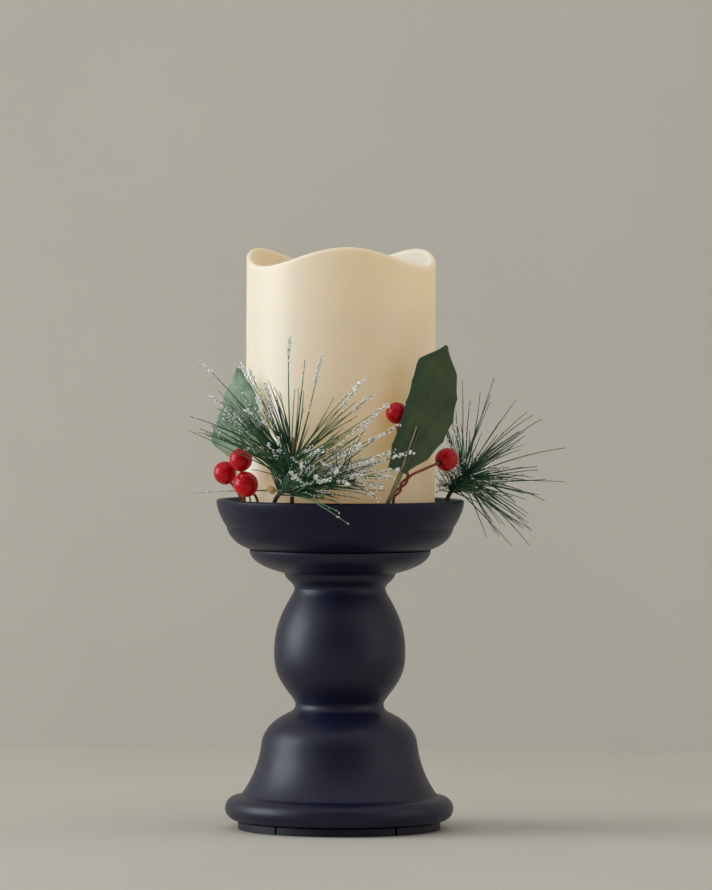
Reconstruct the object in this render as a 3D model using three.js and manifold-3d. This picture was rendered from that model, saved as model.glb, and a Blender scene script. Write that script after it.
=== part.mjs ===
// Battery candlestick: a moulded pedestal, an ivory LED pillar candle standing in its dish,
// and a winter garland of pine, leaves and berries tucked into the trough around the candle.
// Millimetres, +Z up. The origin is on the axis, on the flat face that the base stands on.
// Azimuths are in degrees around the axis: 0 is the front (-Y) and 90 is the right (+X).
import * as THREE from "three";
import { mergeVertices } from "three/addons/utils/BufferGeometryUtils.js";
import Module from "manifold-3d";

const wasm = await Module();
wasm.setup();

// Shared clearances and walls
const SEAM = 0.3; // gap left where one piece seats on or in another
const FIT = 0.45; // radial gap between faceted rounds
const WALL = 2.2; // moulded wall of the bell, stem and collar
const TURNS = 26; // facets around a turned piece

// Bottom cover
const COVER_RADIUS = 40.3;
const COVER_PLATE = 2.0;
const COVER_RIM_HEIGHT = 3.1;
const COVER_RIM_WIDTH = 3.8;
const COVER_SPIGOT_HEIGHT = 2.9;
const COVER_SPIGOT_WALL = 1.6;
const NOTCH_COUNT = 5;
const NOTCH_FIRST_AZIMUTH = 34;
const NOTCH_WIDTH = 1.1;
const NOTCH_DEPTH = 1.8;

// Bell-shaped base
const BELL_HEIGHT = 46.0;
const BELL_BORE_RADIUS = 37.5;
const BEAD_RADIUS = 4.8;
const BEAD_CENTRE_RADIUS = 40.6;
const BELL_FOOT_RADIUS = 39.2;
const BELL_WAIST_RADIUS = 31.0;
const BELL_WAIST_RISE = 30.4;
const NECK_RADIUS = 17.5;
const BELL_FILLET = 3.0;

// Baluster stem
const STEM_HEIGHT = 45.7;
const BULB_RADIUS = 26.1;
const BULB_RISE = 20.3;
const STEM_TOP_RADIUS = 18.1;
const STEM_FILLET = 2.2;
const SPIGOT_RADIUS = 14.7;
const SPIGOT_LENGTH = 5.6;

// Collar under the dish
const COLLAR_HEIGHT = 15.2;
const COLLAR_RADIUS = 36.05;
const COLLAR_STEP_RADIUS = 22.2;
const COLLAR_STEP_RISE = 6.0;

// Dish
const DISH_HEIGHT = 19.7;
const DISH_LIP = 0.35; // how far the dish overhangs the collar
const DISH_STEP_RISE = 9.4;
const DISH_STEP_INSET = 3.7;
const DISH_FLARE = 8.8;
const DISH_RIM_WALL = 2.3;
const DISH_FLOOR_RISE = 3.8;
const DISH_FLOOR = 2.5;
const DISH_SPIGOT_LENGTH = 2.4;
const TROUGH_WIDTH = 2.9; // floor left around the candle
const LEAD_HOLE_RADIUS = 6;

// Candle
const CANDLE_RADIUS = 37.5;
const CANDLE_HEIGHT = 111.7; // to the mean level of its wavy rim
const CANDLE_WALL = 2.6;
const WAVE_COUNT = 3;
const WAVE_HEIGHT = 3.7; // above and below the mean level
const WAVE_AZIMUTH = 4;
const WELL_DEPTH = 20.7;
const DECK_THICKNESS = 2.0;
const LEDGE_WIDTH = 1.7;
const CANDLE_BASE_THICKNESS = 2.5;
const CANDLE_BASE_RIM = 4.0;
const CANDLE_TURNS = 42;

// Lamp
const LED_RADIUS = 2.5;
const LED_FLANGE_RADIUS = 2.9;
const LED_FLANGE = 1.0;
const LED_HEIGHT = 8.6;
const LED_BOARD_RADIUS = 9;
const LED_BOARD_THICKNESS = 1.6;
const STAKE_RADIUS = 0.9;
const STAKE_OFFSET = 6;

// Screws
const SCREW_RADIUS = 1.2;
const SCREW_HEAD_RADIUS = 2.6;
const SCREW_HEAD = 1.6;
const SCREW_BOSS_RADIUS = 3.0;
const COVER_SCREW_CIRCLE = 32;
const COVER_SCREW_LENGTH = 11;
const CANDLE_SCREW_INSET = 15.5; // from the side of the candle
const CANDLE_SCREW_LENGTH = 9;
const BOARD_SCREW_LENGTH = 6;

// AAA cells and their box
const CELL_RADIUS = 5.25;
const CELL_BODY = 43.7;
const CELL_NUB = 0.8;
const CELL_NUB_RADIUS = 1.9;
const CELL_GAP = 0.35;
const BOX_WALL = 1.2;
const BOX_FRONT = 2.6; // inner front wall, just behind the axis
const CONTACT_THICKNESS = 0.5;
const SPRING_LENGTH = 2.1;
const SPRING_WIRE = 0.25;
const SPRING_TURNS = 2.25;
const SPRING_BASE_RADIUS = 3.0;
const SPRING_TIP_RADIUS = 1.8;

// Battery door
const DOOR_THICKNESS = 1.3;
const DOOR_LEDGE = 0.8;
const DOOR_RECESS = 0.4;
const TONGUE_WIDTH = 6;
const TONGUE_OFFSET = 14;
const TONGUE_REACH = 1.3;
const TONGUE_THICKNESS = 1.0;
const LATCH_WIDTH = 9;
const LATCH_HEIGHT = 1.9;

// Slide switch and timer board
const SWITCH_Y = -19;
const SWITCH_TRAVEL = 2; // to either side of off
const KNOB_LENGTH = 4;
const KNOB_WIDTH = 3;
const SWITCH_LENGTH = 13;
const SWITCH_WIDTH = 6.4;
const SWITCH_HEIGHT = 3.6;
const SWITCH_RECESS_DEPTH = 1.0;
const SWITCH_RECESS_MARGIN = 3;
const BOARD_LENGTH = 36;
const BOARD_WIDTH = 16;
const BOARD_THICKNESS = 1.6;
const BOARD_RISE = 6.7; // above the cover plate
const BOARD_POST_RADIUS = 2.6;
const BOARD_POST_OFFSET = 14;

// Leads
const LEAD_RADIUS = 0.6;
const LEAD_SPACING = 2.6;

// Garland
const WREATH_WIRE = 0.8;
const PINE_STEM = 1.0;
const PINE_BARK = 1.6;
const LEAF_STEM = 0.7;
const BERRY_WIRE = 0.45;
const TWIST_RADIUS = 0.95;
const LEAF_THICKNESS = 0.6;
const NEEDLE_RADIUS = 0.3;
const NEEDLE_CLEAR = 0.7;
const NEEDLE_SPACING = 0.62; // least distance between the lines of two needles
const NEEDLE_SEED = 20;

// Levels and radii that follow from the sizes above
const BELL_BOTTOM = COVER_RIM_HEIGHT + SEAM;
const BELL_TOP = BELL_BOTTOM + BELL_HEIGHT;
const BELL_WAIST = BELL_BOTTOM + BELL_WAIST_RISE;
const STEM_BOTTOM = BELL_TOP + SEAM;
const STEM_TOP = STEM_BOTTOM + STEM_HEIGHT;
const COLLAR_BOTTOM = STEM_TOP + SEAM;
const COLLAR_TOP = COLLAR_BOTTOM + COLLAR_HEIGHT;
const DISH_BOTTOM = COLLAR_TOP + SEAM;
const RIM_LEVEL = DISH_BOTTOM + DISH_HEIGHT;
const FLOOR_LEVEL = DISH_BOTTOM + DISH_FLOOR_RISE;
const FLOOR_RADIUS = CANDLE_RADIUS + TROUGH_WIDTH;
const CANDLE_SCREW_CIRCLE = CANDLE_RADIUS - CANDLE_SCREW_INSET;
const RIM_RADIUS = FLOOR_RADIUS + DISH_FLARE;
const RIM_INNER_RADIUS = RIM_RADIUS - DISH_RIM_WALL;
const CANDLE_BOTTOM = FLOOR_LEVEL + SEAM;
const CANDLE_TOP = CANDLE_BOTTOM + CANDLE_HEIGHT;
const CANDLE_BORE = CANDLE_RADIUS - CANDLE_WALL;
const DECK_TOP = CANDLE_TOP - WELL_DEPTH;
const DECK_BOTTOM = DECK_TOP - DECK_THICKNESS;
const SOCKET_RADIUS = SPIGOT_RADIUS + FIT;
const SCREW_HOLE_RADIUS = SCREW_RADIUS + FIT;
const DOOR_TOP = DOOR_RECESS + DOOR_THICKNESS;
const BOX_LENGTH = CELL_BODY + 2 * (CELL_NUB + SEAM + SPRING_LENGTH);
const BOX_DEPTH = 4 * CELL_RADIUS + 3 * CELL_GAP;
const BOX_REAR = BOX_FRONT + BOX_DEPTH;
const BOX_CORNER_RADIUS = BELL_BORE_RADIUS - WALL - SEAM;
const CELL_LEVEL = COVER_PLATE + CELL_GAP + CELL_RADIUS;
const BOX_CEILING = CELL_LEVEL + CELL_RADIUS + CELL_GAP;
const BOARD_LEVEL = COVER_PLATE + BOARD_RISE;
const BOARD_Y = SWITCH_Y;

const NAVY = { color: 0x20212b, roughness: 0.55, metalness: 0 };
const BLACK_PLASTIC = { color: 0x17181d, roughness: 0.6, metalness: 0 };
const IVORY = { color: 0xe9dfc6, roughness: 0.45, metalness: 0 };
const STEEL = { color: 0xb9bcc0, roughness: 0.35, metalness: 1 };
const BOARD_GREEN = { color: 0x2c5b3a, roughness: 0.5, metalness: 0 };
const CHIP_BLACK = { color: 0x141414, roughness: 0.4, metalness: 0 };
const CELL_JACKET = { color: 0x8d9196, roughness: 0.4, metalness: 0.3 };
const LED_CLEAR = { color: 0xf6e7b8, roughness: 0.15, metalness: 0 };
const RED_LEAD = { color: 0xa8231f, roughness: 0.5, metalness: 0 };
const BLACK_LEAD = { color: 0x1a1a1a, roughness: 0.5, metalness: 0 };
const PINE_GREEN = { color: 0x2f4f36, roughness: 0.7, metalness: 0 };
const LEAF_GREEN = { color: 0x3a4a30, roughness: 0.75, metalness: 0 };
const PALE_LEAF = { color: 0x6d8a70, roughness: 0.7, metalness: 0 };
const BERRY_RED = { color: 0xa3121c, roughness: 0.25, metalness: 0 };
const RUST_WIRE = { color: 0x7a3420, roughness: 0.6, metalness: 0 };
const TWIG_TAN = { color: 0xb08d52, roughness: 0.8, metalness: 0 };
const WREATH_BROWN = { color: 0x3b3a2c, roughness: 0.7, metalness: 0 };

// Solids: three.js geometry in, manifold solids for cutting and joining, geometry out

function solidOf(geometry) {
  const loose = geometry.index ? geometry.toNonIndexed() : geometry;
  const bare = new THREE.BufferGeometry();
  bare.setAttribute("position", loose.getAttribute("position"));
  const merged = mergeVertices(bare, 1e-4);
  return new wasm.Manifold(
    new wasm.Mesh({
      numProp: 3,
      vertProperties: merged.attributes.position.array,
      triVerts: new Uint32Array(merged.index.array),
    }),
  );
}

function geometryOf(solid) {
  const mesh = solid.getMesh();
  const geometry = new THREE.BufferGeometry();
  geometry.setAttribute("position", new THREE.BufferAttribute(mesh.vertProperties, 3));
  geometry.setIndex(new THREE.BufferAttribute(mesh.triVerts, 1));
  return geometry;
}

const joined = (...solids) => wasm.Manifold.union(solids);

// A turned piece: an outline of radius and height, spun about the axis.
function turned(outline, divisions = 5, turns = TURNS) {
  const geometry = new THREE.LatheGeometry(outline.getPoints(divisions), turns);
  return geometry.rotateX(Math.PI / 2);
}

function turnedSolid(outline, divisions, turns) {
  return solidOf(turned(outline, divisions, turns));
}

function disc(radius, bottom, top, turns = TURNS) {
  const outline = new THREE.Path().moveTo(0, bottom).lineTo(radius, bottom);
  return turnedSolid(outline.lineTo(radius, top).lineTo(0, top), 1, turns);
}

function post(radius, bottom, top, x, y, turns = 10) {
  return disc(radius, bottom, top, turns).translate(x, y, 0);
}

function ring(inner, outer, bottom, top, turns = TURNS) {
  const outline = new THREE.Path().moveTo(inner, bottom).lineTo(outer, bottom).lineTo(outer, top);
  return turnedSolid(outline.lineTo(inner, top).lineTo(inner, bottom), 1, turns);
}

function block(x, y, z) {
  const size = [x, y, z].map(([low, high]) => high - low);
  const middle = [x, y, z].map(([low, high]) => (low + high) / 2);
  return solidOf(new THREE.BoxGeometry(...size).translate(...middle));
}

function circle(radius, sides) {
  const corner = (_, i) => {
    const angle = (2 * Math.PI * i) / sides;
    return new THREE.Vector2(radius * Math.cos(angle), radius * Math.sin(angle));
  };
  return new THREE.Shape(Array.from({ length: sides }, corner));
}

function tube(curve, radius, sides, steps) {
  return new THREE.ExtrudeGeometry(circle(radius, sides), { steps, extrudePath: curve });
}

const smoothLine = (points) => new THREE.CatmullRomCurve3(points);

// A point on an azimuth, and the same line moved inwards by the wall it stands for
function around(azimuth, radius, level) {
  const angle = THREE.MathUtils.degToRad(azimuth);
  return new THREE.Vector3(radius * Math.sin(angle), -radius * Math.cos(angle), level);
}

function movedIn(points, distance) {
  return points.map((here, i) => {
    const before = points[Math.max(i - 1, 0)];
    const after = points[Math.min(i + 1, points.length - 1)];
    const along = after.clone().sub(before).normalize();
    return new THREE.Vector2(here.x - along.y * distance, here.y + along.x * distance);
  });
}

const candlestick = new THREE.Group();

function addPiece(name, shape, finish) {
  const geometry = shape.isBufferGeometry ? shape : geometryOf(shape);
  const mesh = new THREE.Mesh(geometry, new THREE.MeshStandardMaterial(finish));
  mesh.name = name;
  candlestick.add(mesh);
  return mesh;
}

// Screws: a pan head with a cross recess and a plain shank, head at the bottom
function screw(length) {
  const outline = new THREE.Path().moveTo(0, 0).lineTo(SCREW_HEAD_RADIUS * 0.8, 0);
  outline.lineTo(SCREW_HEAD_RADIUS, SCREW_HEAD * 0.4).lineTo(SCREW_HEAD_RADIUS, SCREW_HEAD);
  outline.lineTo(SCREW_RADIUS, SCREW_HEAD).lineTo(SCREW_RADIUS, SCREW_HEAD + length);
  outline.lineTo(0, SCREW_HEAD + length + SCREW_RADIUS);
  const arm = SCREW_HEAD_RADIUS * 0.6;
  const slot = SCREW_HEAD_RADIUS * 0.16;
  const depth = SCREW_HEAD * 0.5;
  const cross = joined(
    block([-arm, arm], [-slot, slot], [-1, depth]),
    block([-slot, slot], [-arm, arm], [-1, depth]),
  );
  return turnedSolid(outline, 1, 8).subtract(cross);
}

const coverScrewAzimuths = [60, 180, 300];
const candleScrewAzimuths = [60, 180, 300];
const COVER_SCREW_SEAT = DOOR_RECESS + SCREW_HEAD + SEAM;

// Bottom cover: plate, notched rim, spigot, battery box, board posts and screw bosses
function bottomCover() {
  const spigotOuter = BELL_BORE_RADIUS - FIT;
  const spigotTop = COVER_RIM_HEIGHT + COVER_SPIGOT_HEIGHT;
  const halfBox = BOX_LENGTH / 2;
  const boxTop = BOX_CEILING + BOX_WALL;
  const box = block(
    [-halfBox - BOX_WALL, halfBox + BOX_WALL],
    [BOX_FRONT - BOX_WALL, BOX_REAR + BOX_WALL],
    [COVER_PLATE / 2, boxTop],
  ).intersect(disc(BOX_CORNER_RADIUS, 0, boxTop + 1));
  let cover = joined(
    disc(COVER_RADIUS, 0, COVER_PLATE),
    ring(COVER_RADIUS - COVER_RIM_WIDTH, COVER_RADIUS, 0, COVER_RIM_HEIGHT),
    ring(spigotOuter - COVER_SPIGOT_WALL, spigotOuter, 0, spigotTop),
    box,
  );
  for (const azimuth of coverScrewAzimuths) {
    const { x, y } = around(azimuth, COVER_SCREW_CIRCLE, 0);
    cover = cover.add(post(SCREW_BOSS_RADIUS + 1, COVER_PLATE / 2, spigotTop - SEAM, x, y));
    cover = cover.subtract(post(SCREW_HEAD_RADIUS + FIT, -1, COVER_SCREW_SEAT, x, y));
    cover = cover.subtract(post(SCREW_HOLE_RADIUS, -1, spigotTop + 1, x, y));
  }
  for (const side of [-1, 1]) {
    const x = side * BOARD_POST_OFFSET;
    cover = cover.add(post(BOARD_POST_RADIUS, COVER_PLATE / 2, BOARD_LEVEL - SEAM, x, BOARD_Y));
    cover = cover.subtract(post(SCREW_HOLE_RADIUS, COVER_PLATE, BOARD_LEVEL, x, BOARD_Y));
  }
  for (let i = 0; i < NOTCH_COUNT; i++) {
    const reach = COVER_RADIUS + 1;
    const notch = block(
      [-NOTCH_WIDTH / 2, NOTCH_WIDTH / 2],
      [-reach, NOTCH_DEPTH - COVER_RADIUS],
      [-1, COVER_RIM_HEIGHT + 1],
    );
    cover = cover.subtract(notch.rotate(0, 0, NOTCH_FIRST_AZIMUTH + (360 / NOTCH_COUNT) * i));
  }
  const doorway = block(
    [-halfBox - DOOR_LEDGE - SEAM, halfBox + DOOR_LEDGE + SEAM],
    [BOX_FRONT - DOOR_LEDGE - SEAM, BOX_REAR + DOOR_LEDGE + SEAM],
    [-1, COVER_PLATE],
  );
  const inside = block([-halfBox, halfBox], [BOX_FRONT, BOX_REAR], [-1, BOX_CEILING]).intersect(
    disc(BOX_CORNER_RADIUS - BOX_WALL, -1, BOX_CEILING),
  );
  cover = cover.subtract(doorway).subtract(inside);
  const tongueSwing = COVER_PLATE + TONGUE_REACH + TONGUE_THICKNESS;
  for (const side of [-1, 1]) {
    const x = side * TONGUE_OFFSET;
    const half = TONGUE_WIDTH / 2 + SEAM;
    const slotRear = BOX_REAR + BOX_WALL + 1;
    cover = cover.subtract(block([x - half, x + half], [BOX_REAR - 1, slotRear], [COVER_PLATE, tongueSwing]));
  }
  const leadSlot = [BOX_CEILING - 2 * BOX_WALL, BOX_CEILING + 2 * BOX_WALL];
  cover = cover.subtract(block([-halfBox, -halfBox + 2], [BOX_FRONT + 2, BOX_FRONT + 6], leadSlot));
  cover = cover.subtract(block([-halfBox, -halfBox + 2], [BOX_REAR - 8, BOX_REAR - 4], leadSlot));
  const recessX = KNOB_LENGTH / 2 + SWITCH_TRAVEL + SWITCH_RECESS_MARGIN;
  const recessY = KNOB_WIDTH / 2 + SWITCH_RECESS_MARGIN;
  const recess = block(
    [-recessX, recessX],
    [SWITCH_Y - recessY, SWITCH_Y + recessY],
    [-1, SWITCH_RECESS_DEPTH],
  );
  const slotX = KNOB_LENGTH / 2 + SWITCH_TRAVEL + SEAM;
  const slotY = KNOB_WIDTH / 2 + SEAM;
  const slot = block([-slotX, slotX], [SWITCH_Y - slotY, SWITCH_Y + slotY], [-1, COVER_PLATE + 1]);
  return cover.subtract(recess).subtract(slot);
}

// Bell base: bead, flare, shoulder and neck outside, one wall thick inside, with screw bosses
function baseBell() {
  const beadTop = BELL_BOTTOM + 2 * BEAD_RADIUS;
  const flare = new THREE.Path().moveTo(BELL_FOOT_RADIUS, beadTop + 0.2);
  flare.quadraticCurveTo(
    BELL_WAIST_RADIUS + 1.4, (beadTop + BELL_WAIST) / 2 - 1.1,
    BELL_WAIST_RADIUS, BELL_WAIST,
  );
  const filletFoot = new THREE.Vector2(NECK_RADIUS + 0.7 * BELL_FILLET, BELL_TOP - BELL_FILLET);
  flare.quadraticCurveTo(BELL_WAIST_RADIUS - 0.95, filletFoot.y - 4.7, filletFoot.x, filletFoot.y);
  const skin = flare.getPoints(4);
  const outline = new THREE.Path().moveTo(0, BELL_BOTTOM).lineTo(BEAD_CENTRE_RADIUS, BELL_BOTTOM);
  const beadLevel = BELL_BOTTOM + BEAD_RADIUS;
  outline.absarc(BEAD_CENTRE_RADIUS, beadLevel, BEAD_RADIUS, -Math.PI / 2, Math.PI / 2);
  skin.forEach((p) => outline.lineTo(p.x, p.y));
  outline.quadraticCurveTo(NECK_RADIUS, BELL_TOP - 0.67 * BELL_FILLET, NECK_RADIUS, BELL_TOP);
  outline.lineTo(0, BELL_TOP);
  const whole = turnedSolid(outline, 3);
  const inside = new THREE.Path().moveTo(0, BELL_BOTTOM - 1).lineTo(BELL_BORE_RADIUS, BELL_BOTTOM - 1);
  inside.lineTo(BELL_BORE_RADIUS, beadTop - WALL);
  const ceiling = movedIn(flare.getPoints(3), WALL).filter((p) => p.x > SOCKET_RADIUS && p.x < BELL_BORE_RADIUS);
  ceiling.forEach((p) => inside.lineTo(p.x, p.y));
  inside.lineTo(0, ceiling.at(-1).y);
  let bell = whole.subtract(turnedSolid(inside, 1));
  bell = bell.subtract(disc(SOCKET_RADIUS, BELL_WAIST, BELL_TOP + 1));
  const bossBottom = COVER_RIM_HEIGHT + COVER_SPIGOT_HEIGHT + SEAM;
  for (const azimuth of coverScrewAzimuths) {
    const { x, y } = around(azimuth, COVER_SCREW_CIRCLE, 0);
    const boss = post(SCREW_BOSS_RADIUS, bossBottom, BELL_WAIST, x, y).intersect(whole);
    const pilotTop = COVER_SCREW_SEAT + COVER_SCREW_LENGTH + SCREW_RADIUS + SEAM;
    bell = bell.add(boss).subtract(post(SCREW_HOLE_RADIUS, bossBottom - 1, pilotTop, x, y));
  }
  return bell;
}

// Stem: the baluster bulb, hollow, with a spigot into the bell and another into the collar
function stemBulb() {
  const bulbLevel = STEM_BOTTOM + BULB_RISE;
  const hipBottom = STEM_BOTTOM + STEM_FILLET;
  const hipTop = STEM_TOP - STEM_FILLET;
  const bulb = new THREE.Path().moveTo(NECK_RADIUS + 1.1, hipBottom);
  bulb.bezierCurveTo(
    NECK_RADIUS + 6.5, hipBottom + 7.0, BULB_RADIUS, bulbLevel - 8.0, BULB_RADIUS, bulbLevel,
  );
  bulb.bezierCurveTo(
    BULB_RADIUS, bulbLevel + 9.0, STEM_TOP_RADIUS + 5.7, hipTop - 8.0, STEM_TOP_RADIUS + 0.8, hipTop,
  );
  const skin = bulb.getPoints(4);
  const outline = new THREE.Path().moveTo(0, STEM_BOTTOM).lineTo(NECK_RADIUS, STEM_BOTTOM);
  outline.quadraticCurveTo(NECK_RADIUS, STEM_BOTTOM + 0.6, NECK_RADIUS + 1.1, hipBottom);
  skin.forEach((p) => outline.lineTo(p.x, p.y));
  outline.quadraticCurveTo(STEM_TOP_RADIUS, STEM_TOP - 0.9, STEM_TOP_RADIUS, STEM_TOP);
  outline.lineTo(0, STEM_TOP);
  const spigots = disc(SPIGOT_RADIUS, STEM_BOTTOM - SPIGOT_LENGTH, STEM_TOP + SPIGOT_LENGTH);
  const inside = new THREE.Path().moveTo(0, hipBottom);
  movedIn(bulb.getPoints(3), WALL).forEach((p) => inside.lineTo(p.x, p.y));
  inside.lineTo(0, hipTop);
  const bore = SPIGOT_RADIUS - WALL;
  return turnedSolid(outline, 2)
    .add(spigots)
    .subtract(turnedSolid(inside, 1))
    .subtract(disc(bore, STEM_BOTTOM - SPIGOT_LENGTH - 1, STEM_TOP + SPIGOT_LENGTH + 1));
}

// Collar: a small ogee on the stem and a bowl-shaped tier above it
function collar() {
  const step = COLLAR_BOTTOM + COLLAR_STEP_RISE;
  const outline = new THREE.Path().moveTo(0, COLLAR_BOTTOM).lineTo(STEM_TOP_RADIUS, COLLAR_BOTTOM);
  outline.bezierCurveTo(
    STEM_TOP_RADIUS + 0.2, COLLAR_BOTTOM + 2.2, COLLAR_STEP_RADIUS - 1.0, step - 3.6,
    COLLAR_STEP_RADIUS, step,
  );
  outline.lineTo(COLLAR_STEP_RADIUS + 0.3, step);
  outline.quadraticCurveTo(COLLAR_RADIUS, step + 3.4, COLLAR_RADIUS, COLLAR_TOP);
  outline.lineTo(0, COLLAR_TOP);
  const mouth = COLLAR_RADIUS - WALL;
  const shelf = step + WALL;
  const inside = new THREE.Path().moveTo(0, shelf).lineTo(COLLAR_STEP_RADIUS, shelf);
  inside.quadraticCurveTo(mouth, shelf + 2.2, mouth, COLLAR_TOP - DISH_SPIGOT_LENGTH - 2 * SEAM);
  inside.lineTo(mouth, COLLAR_TOP + 1).lineTo(0, COLLAR_TOP + 1);
  return turnedSolid(outline, 4)
    .subtract(turnedSolid(inside, 3))
    .subtract(disc(SOCKET_RADIUS, COLLAR_BOTTOM - 1, COLLAR_TOP));
}

// Dish: two stepped tiers outside, a flat floor for the candle and a flared wall inside
function dish() {
  const lip = COLLAR_RADIUS + DISH_LIP;
  const step = DISH_BOTTOM + DISH_STEP_RISE;
  const stepRadius = RIM_RADIUS - DISH_STEP_INSET;
  const outline = new THREE.Path().moveTo(0, DISH_BOTTOM).lineTo(lip, DISH_BOTTOM);
  outline.quadraticCurveTo(stepRadius - 1.5, DISH_BOTTOM + 2.8, stepRadius - 0.3, step - 0.3);
  outline.lineTo(stepRadius + 0.1, step);
  outline.quadraticCurveTo(RIM_RADIUS - 0.2, step + 5.6, RIM_RADIUS, RIM_LEVEL - 0.8);
  const rimMiddle = (RIM_RADIUS + RIM_INNER_RADIUS) / 2;
  outline.quadraticCurveTo(RIM_RADIUS, RIM_LEVEL, rimMiddle, RIM_LEVEL);
  outline.quadraticCurveTo(RIM_INNER_RADIUS, RIM_LEVEL, RIM_INNER_RADIUS, RIM_LEVEL - 0.8);
  outline.quadraticCurveTo(RIM_INNER_RADIUS - 0.6, FLOOR_LEVEL + 8.5, FLOOR_RADIUS, FLOOR_LEVEL);
  outline.lineTo(0, FLOOR_LEVEL);
  const spigotOuter = COLLAR_RADIUS - WALL - FIT;
  const spigotInner = spigotOuter - WALL;
  const spigot = ring(spigotInner, spigotOuter, DISH_BOTTOM - DISH_SPIGOT_LENGTH, FLOOR_LEVEL - 0.5);
  let body = turnedSolid(outline, 3).subtract(disc(spigotInner, DISH_BOTTOM - 1, FLOOR_LEVEL - DISH_FLOOR));
  body = body.add(spigot).subtract(disc(LEAD_HOLE_RADIUS, DISH_BOTTOM - 1, FLOOR_LEVEL + 1));
  for (const azimuth of candleScrewAzimuths) {
    const { x, y } = around(azimuth, CANDLE_SCREW_CIRCLE, 0);
    body = body.subtract(post(SCREW_HOLE_RADIUS, DISH_BOTTOM - 1, FLOOR_LEVEL + 1, x, y));
  }
  return body;
}

// Candle shell: a plain tube whose rounded rim rises and falls in three waves
function candleShell() {
  const rim = CANDLE_WALL / 2;
  const shoulder = CANDLE_TOP - rim;
  const ledgeTop = DECK_BOTTOM - SEAM;
  const ledge = CANDLE_BORE - LEDGE_WIDTH;
  const outline = new THREE.Path().moveTo(CANDLE_BORE, CANDLE_BOTTOM).lineTo(CANDLE_RADIUS, CANDLE_BOTTOM);
  outline.lineTo(CANDLE_RADIUS, shoulder).absarc(CANDLE_RADIUS - rim, shoulder, rim, 0, Math.PI);
  outline.lineTo(CANDLE_BORE, ledgeTop).lineTo(ledge, ledgeTop);
  outline.lineTo(ledge, ledgeTop - LEDGE_WIDTH).lineTo(CANDLE_BORE, ledgeTop - 2 * LEDGE_WIDTH);
  outline.lineTo(CANDLE_BORE, CANDLE_BOTTOM);
  const shell = turned(outline, 2, CANDLE_TURNS);
  const position = shell.getAttribute("position");
  for (let i = 0; i < position.count; i++) {
    if (position.getZ(i) < shoulder - 0.01) continue;
    const azimuth = Math.atan2(position.getX(i), -position.getY(i));
    const phase = WAVE_COUNT * (azimuth - THREE.MathUtils.degToRad(WAVE_AZIMUTH));
    position.setZ(i, position.getZ(i) + WAVE_HEIGHT * Math.cos(phase));
  }
  return shell;
}

// Deck: the floor of the candle's well, with a collar for the lamp and stakes for its board
function candleDeck() {
  const hole = LED_FLANGE_RADIUS + SEAM + 0.1;
  const radius = CANDLE_BORE - FIT;
  const outline = new THREE.Path().moveTo(0, DECK_BOTTOM).lineTo(radius, DECK_BOTTOM).lineTo(radius, DECK_TOP);
  outline.quadraticCurveTo(radius / 2, DECK_TOP - 0.6, hole + 3, DECK_TOP - 0.3);
  outline.lineTo(hole + 2, DECK_TOP + 0.9).lineTo(0, DECK_TOP + 0.9);
  let deck = turnedSolid(outline, 3).subtract(disc(hole, DECK_BOTTOM - 1, DECK_TOP + 2));
  for (const side of [-1, 1]) {
    const stakeBottom = DECK_BOTTOM - LED_BOARD_THICKNESS - 2 * SEAM;
    deck = deck.add(post(STAKE_RADIUS, stakeBottom, DECK_TOP - 1, side * STAKE_OFFSET, 0, 10));
  }
  return deck;
}

// Candle base: closes the shell, carries three screw bosses and lets the leads through
function candleBase() {
  const radius = CANDLE_BORE - FIT;
  const top = CANDLE_BOTTOM + CANDLE_BASE_THICKNESS;
  const bossTop = FLOOR_LEVEL - DISH_FLOOR + CANDLE_SCREW_LENGTH + SCREW_RADIUS + 2 * SEAM;
  let base = joined(
    disc(radius, CANDLE_BOTTOM, top),
    ring(radius - WALL, radius, CANDLE_BOTTOM, top + CANDLE_BASE_RIM),
  );
  for (const azimuth of candleScrewAzimuths) {
    const { x, y } = around(azimuth, CANDLE_SCREW_CIRCLE, 0);
    base = base.add(post(SCREW_BOSS_RADIUS, CANDLE_BOTTOM, bossTop + WALL, x, y));
    base = base.subtract(post(SCREW_HOLE_RADIUS, CANDLE_BOTTOM - 1, bossTop, x, y));
  }
  return base.subtract(disc(LEAD_HOLE_RADIUS, CANDLE_BOTTOM - 1, top + 1));
}

function ledBoard() {
  const top = DECK_BOTTOM - SEAM;
  let board = disc(LED_BOARD_RADIUS, top - LED_BOARD_THICKNESS, top, 24);
  for (const side of [-1, 1]) {
    const hole = post(STAKE_RADIUS + SEAM, top - 3, top + 1, side * STAKE_OFFSET, 0, 10);
    board = board.subtract(hole);
  }
  return board;
}

function ledLamp() {
  const foot = DECK_BOTTOM;
  const domeFoot = foot + LED_HEIGHT - LED_RADIUS;
  const outline = new THREE.Path().moveTo(0, foot).lineTo(LED_FLANGE_RADIUS, foot);
  outline.lineTo(LED_FLANGE_RADIUS, foot + LED_FLANGE).lineTo(LED_RADIUS, foot + LED_FLANGE);
  outline.lineTo(LED_RADIUS, domeFoot).absarc(0, domeFoot, LED_RADIUS, 0, Math.PI / 2);
  return turned(outline, 3, 14);
}

// AAA cell lying along X, its nub at the end that the sign names
function cell(sign, y) {
  const half = CELL_BODY / 2;
  const outline = new THREE.Path().moveTo(0, -half).lineTo(CELL_RADIUS - 0.4, -half);
  outline.lineTo(CELL_RADIUS, -half + 0.4).lineTo(CELL_RADIUS, half - 0.6);
  outline.lineTo(CELL_RADIUS - 0.6, half).lineTo(CELL_NUB_RADIUS, half);
  outline.lineTo(CELL_NUB_RADIUS, half + CELL_NUB).lineTo(0, half + CELL_NUB);
  return turned(outline, 1, 18).rotateY((sign * Math.PI) / 2).translate(0, y, CELL_LEVEL);
}

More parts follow.
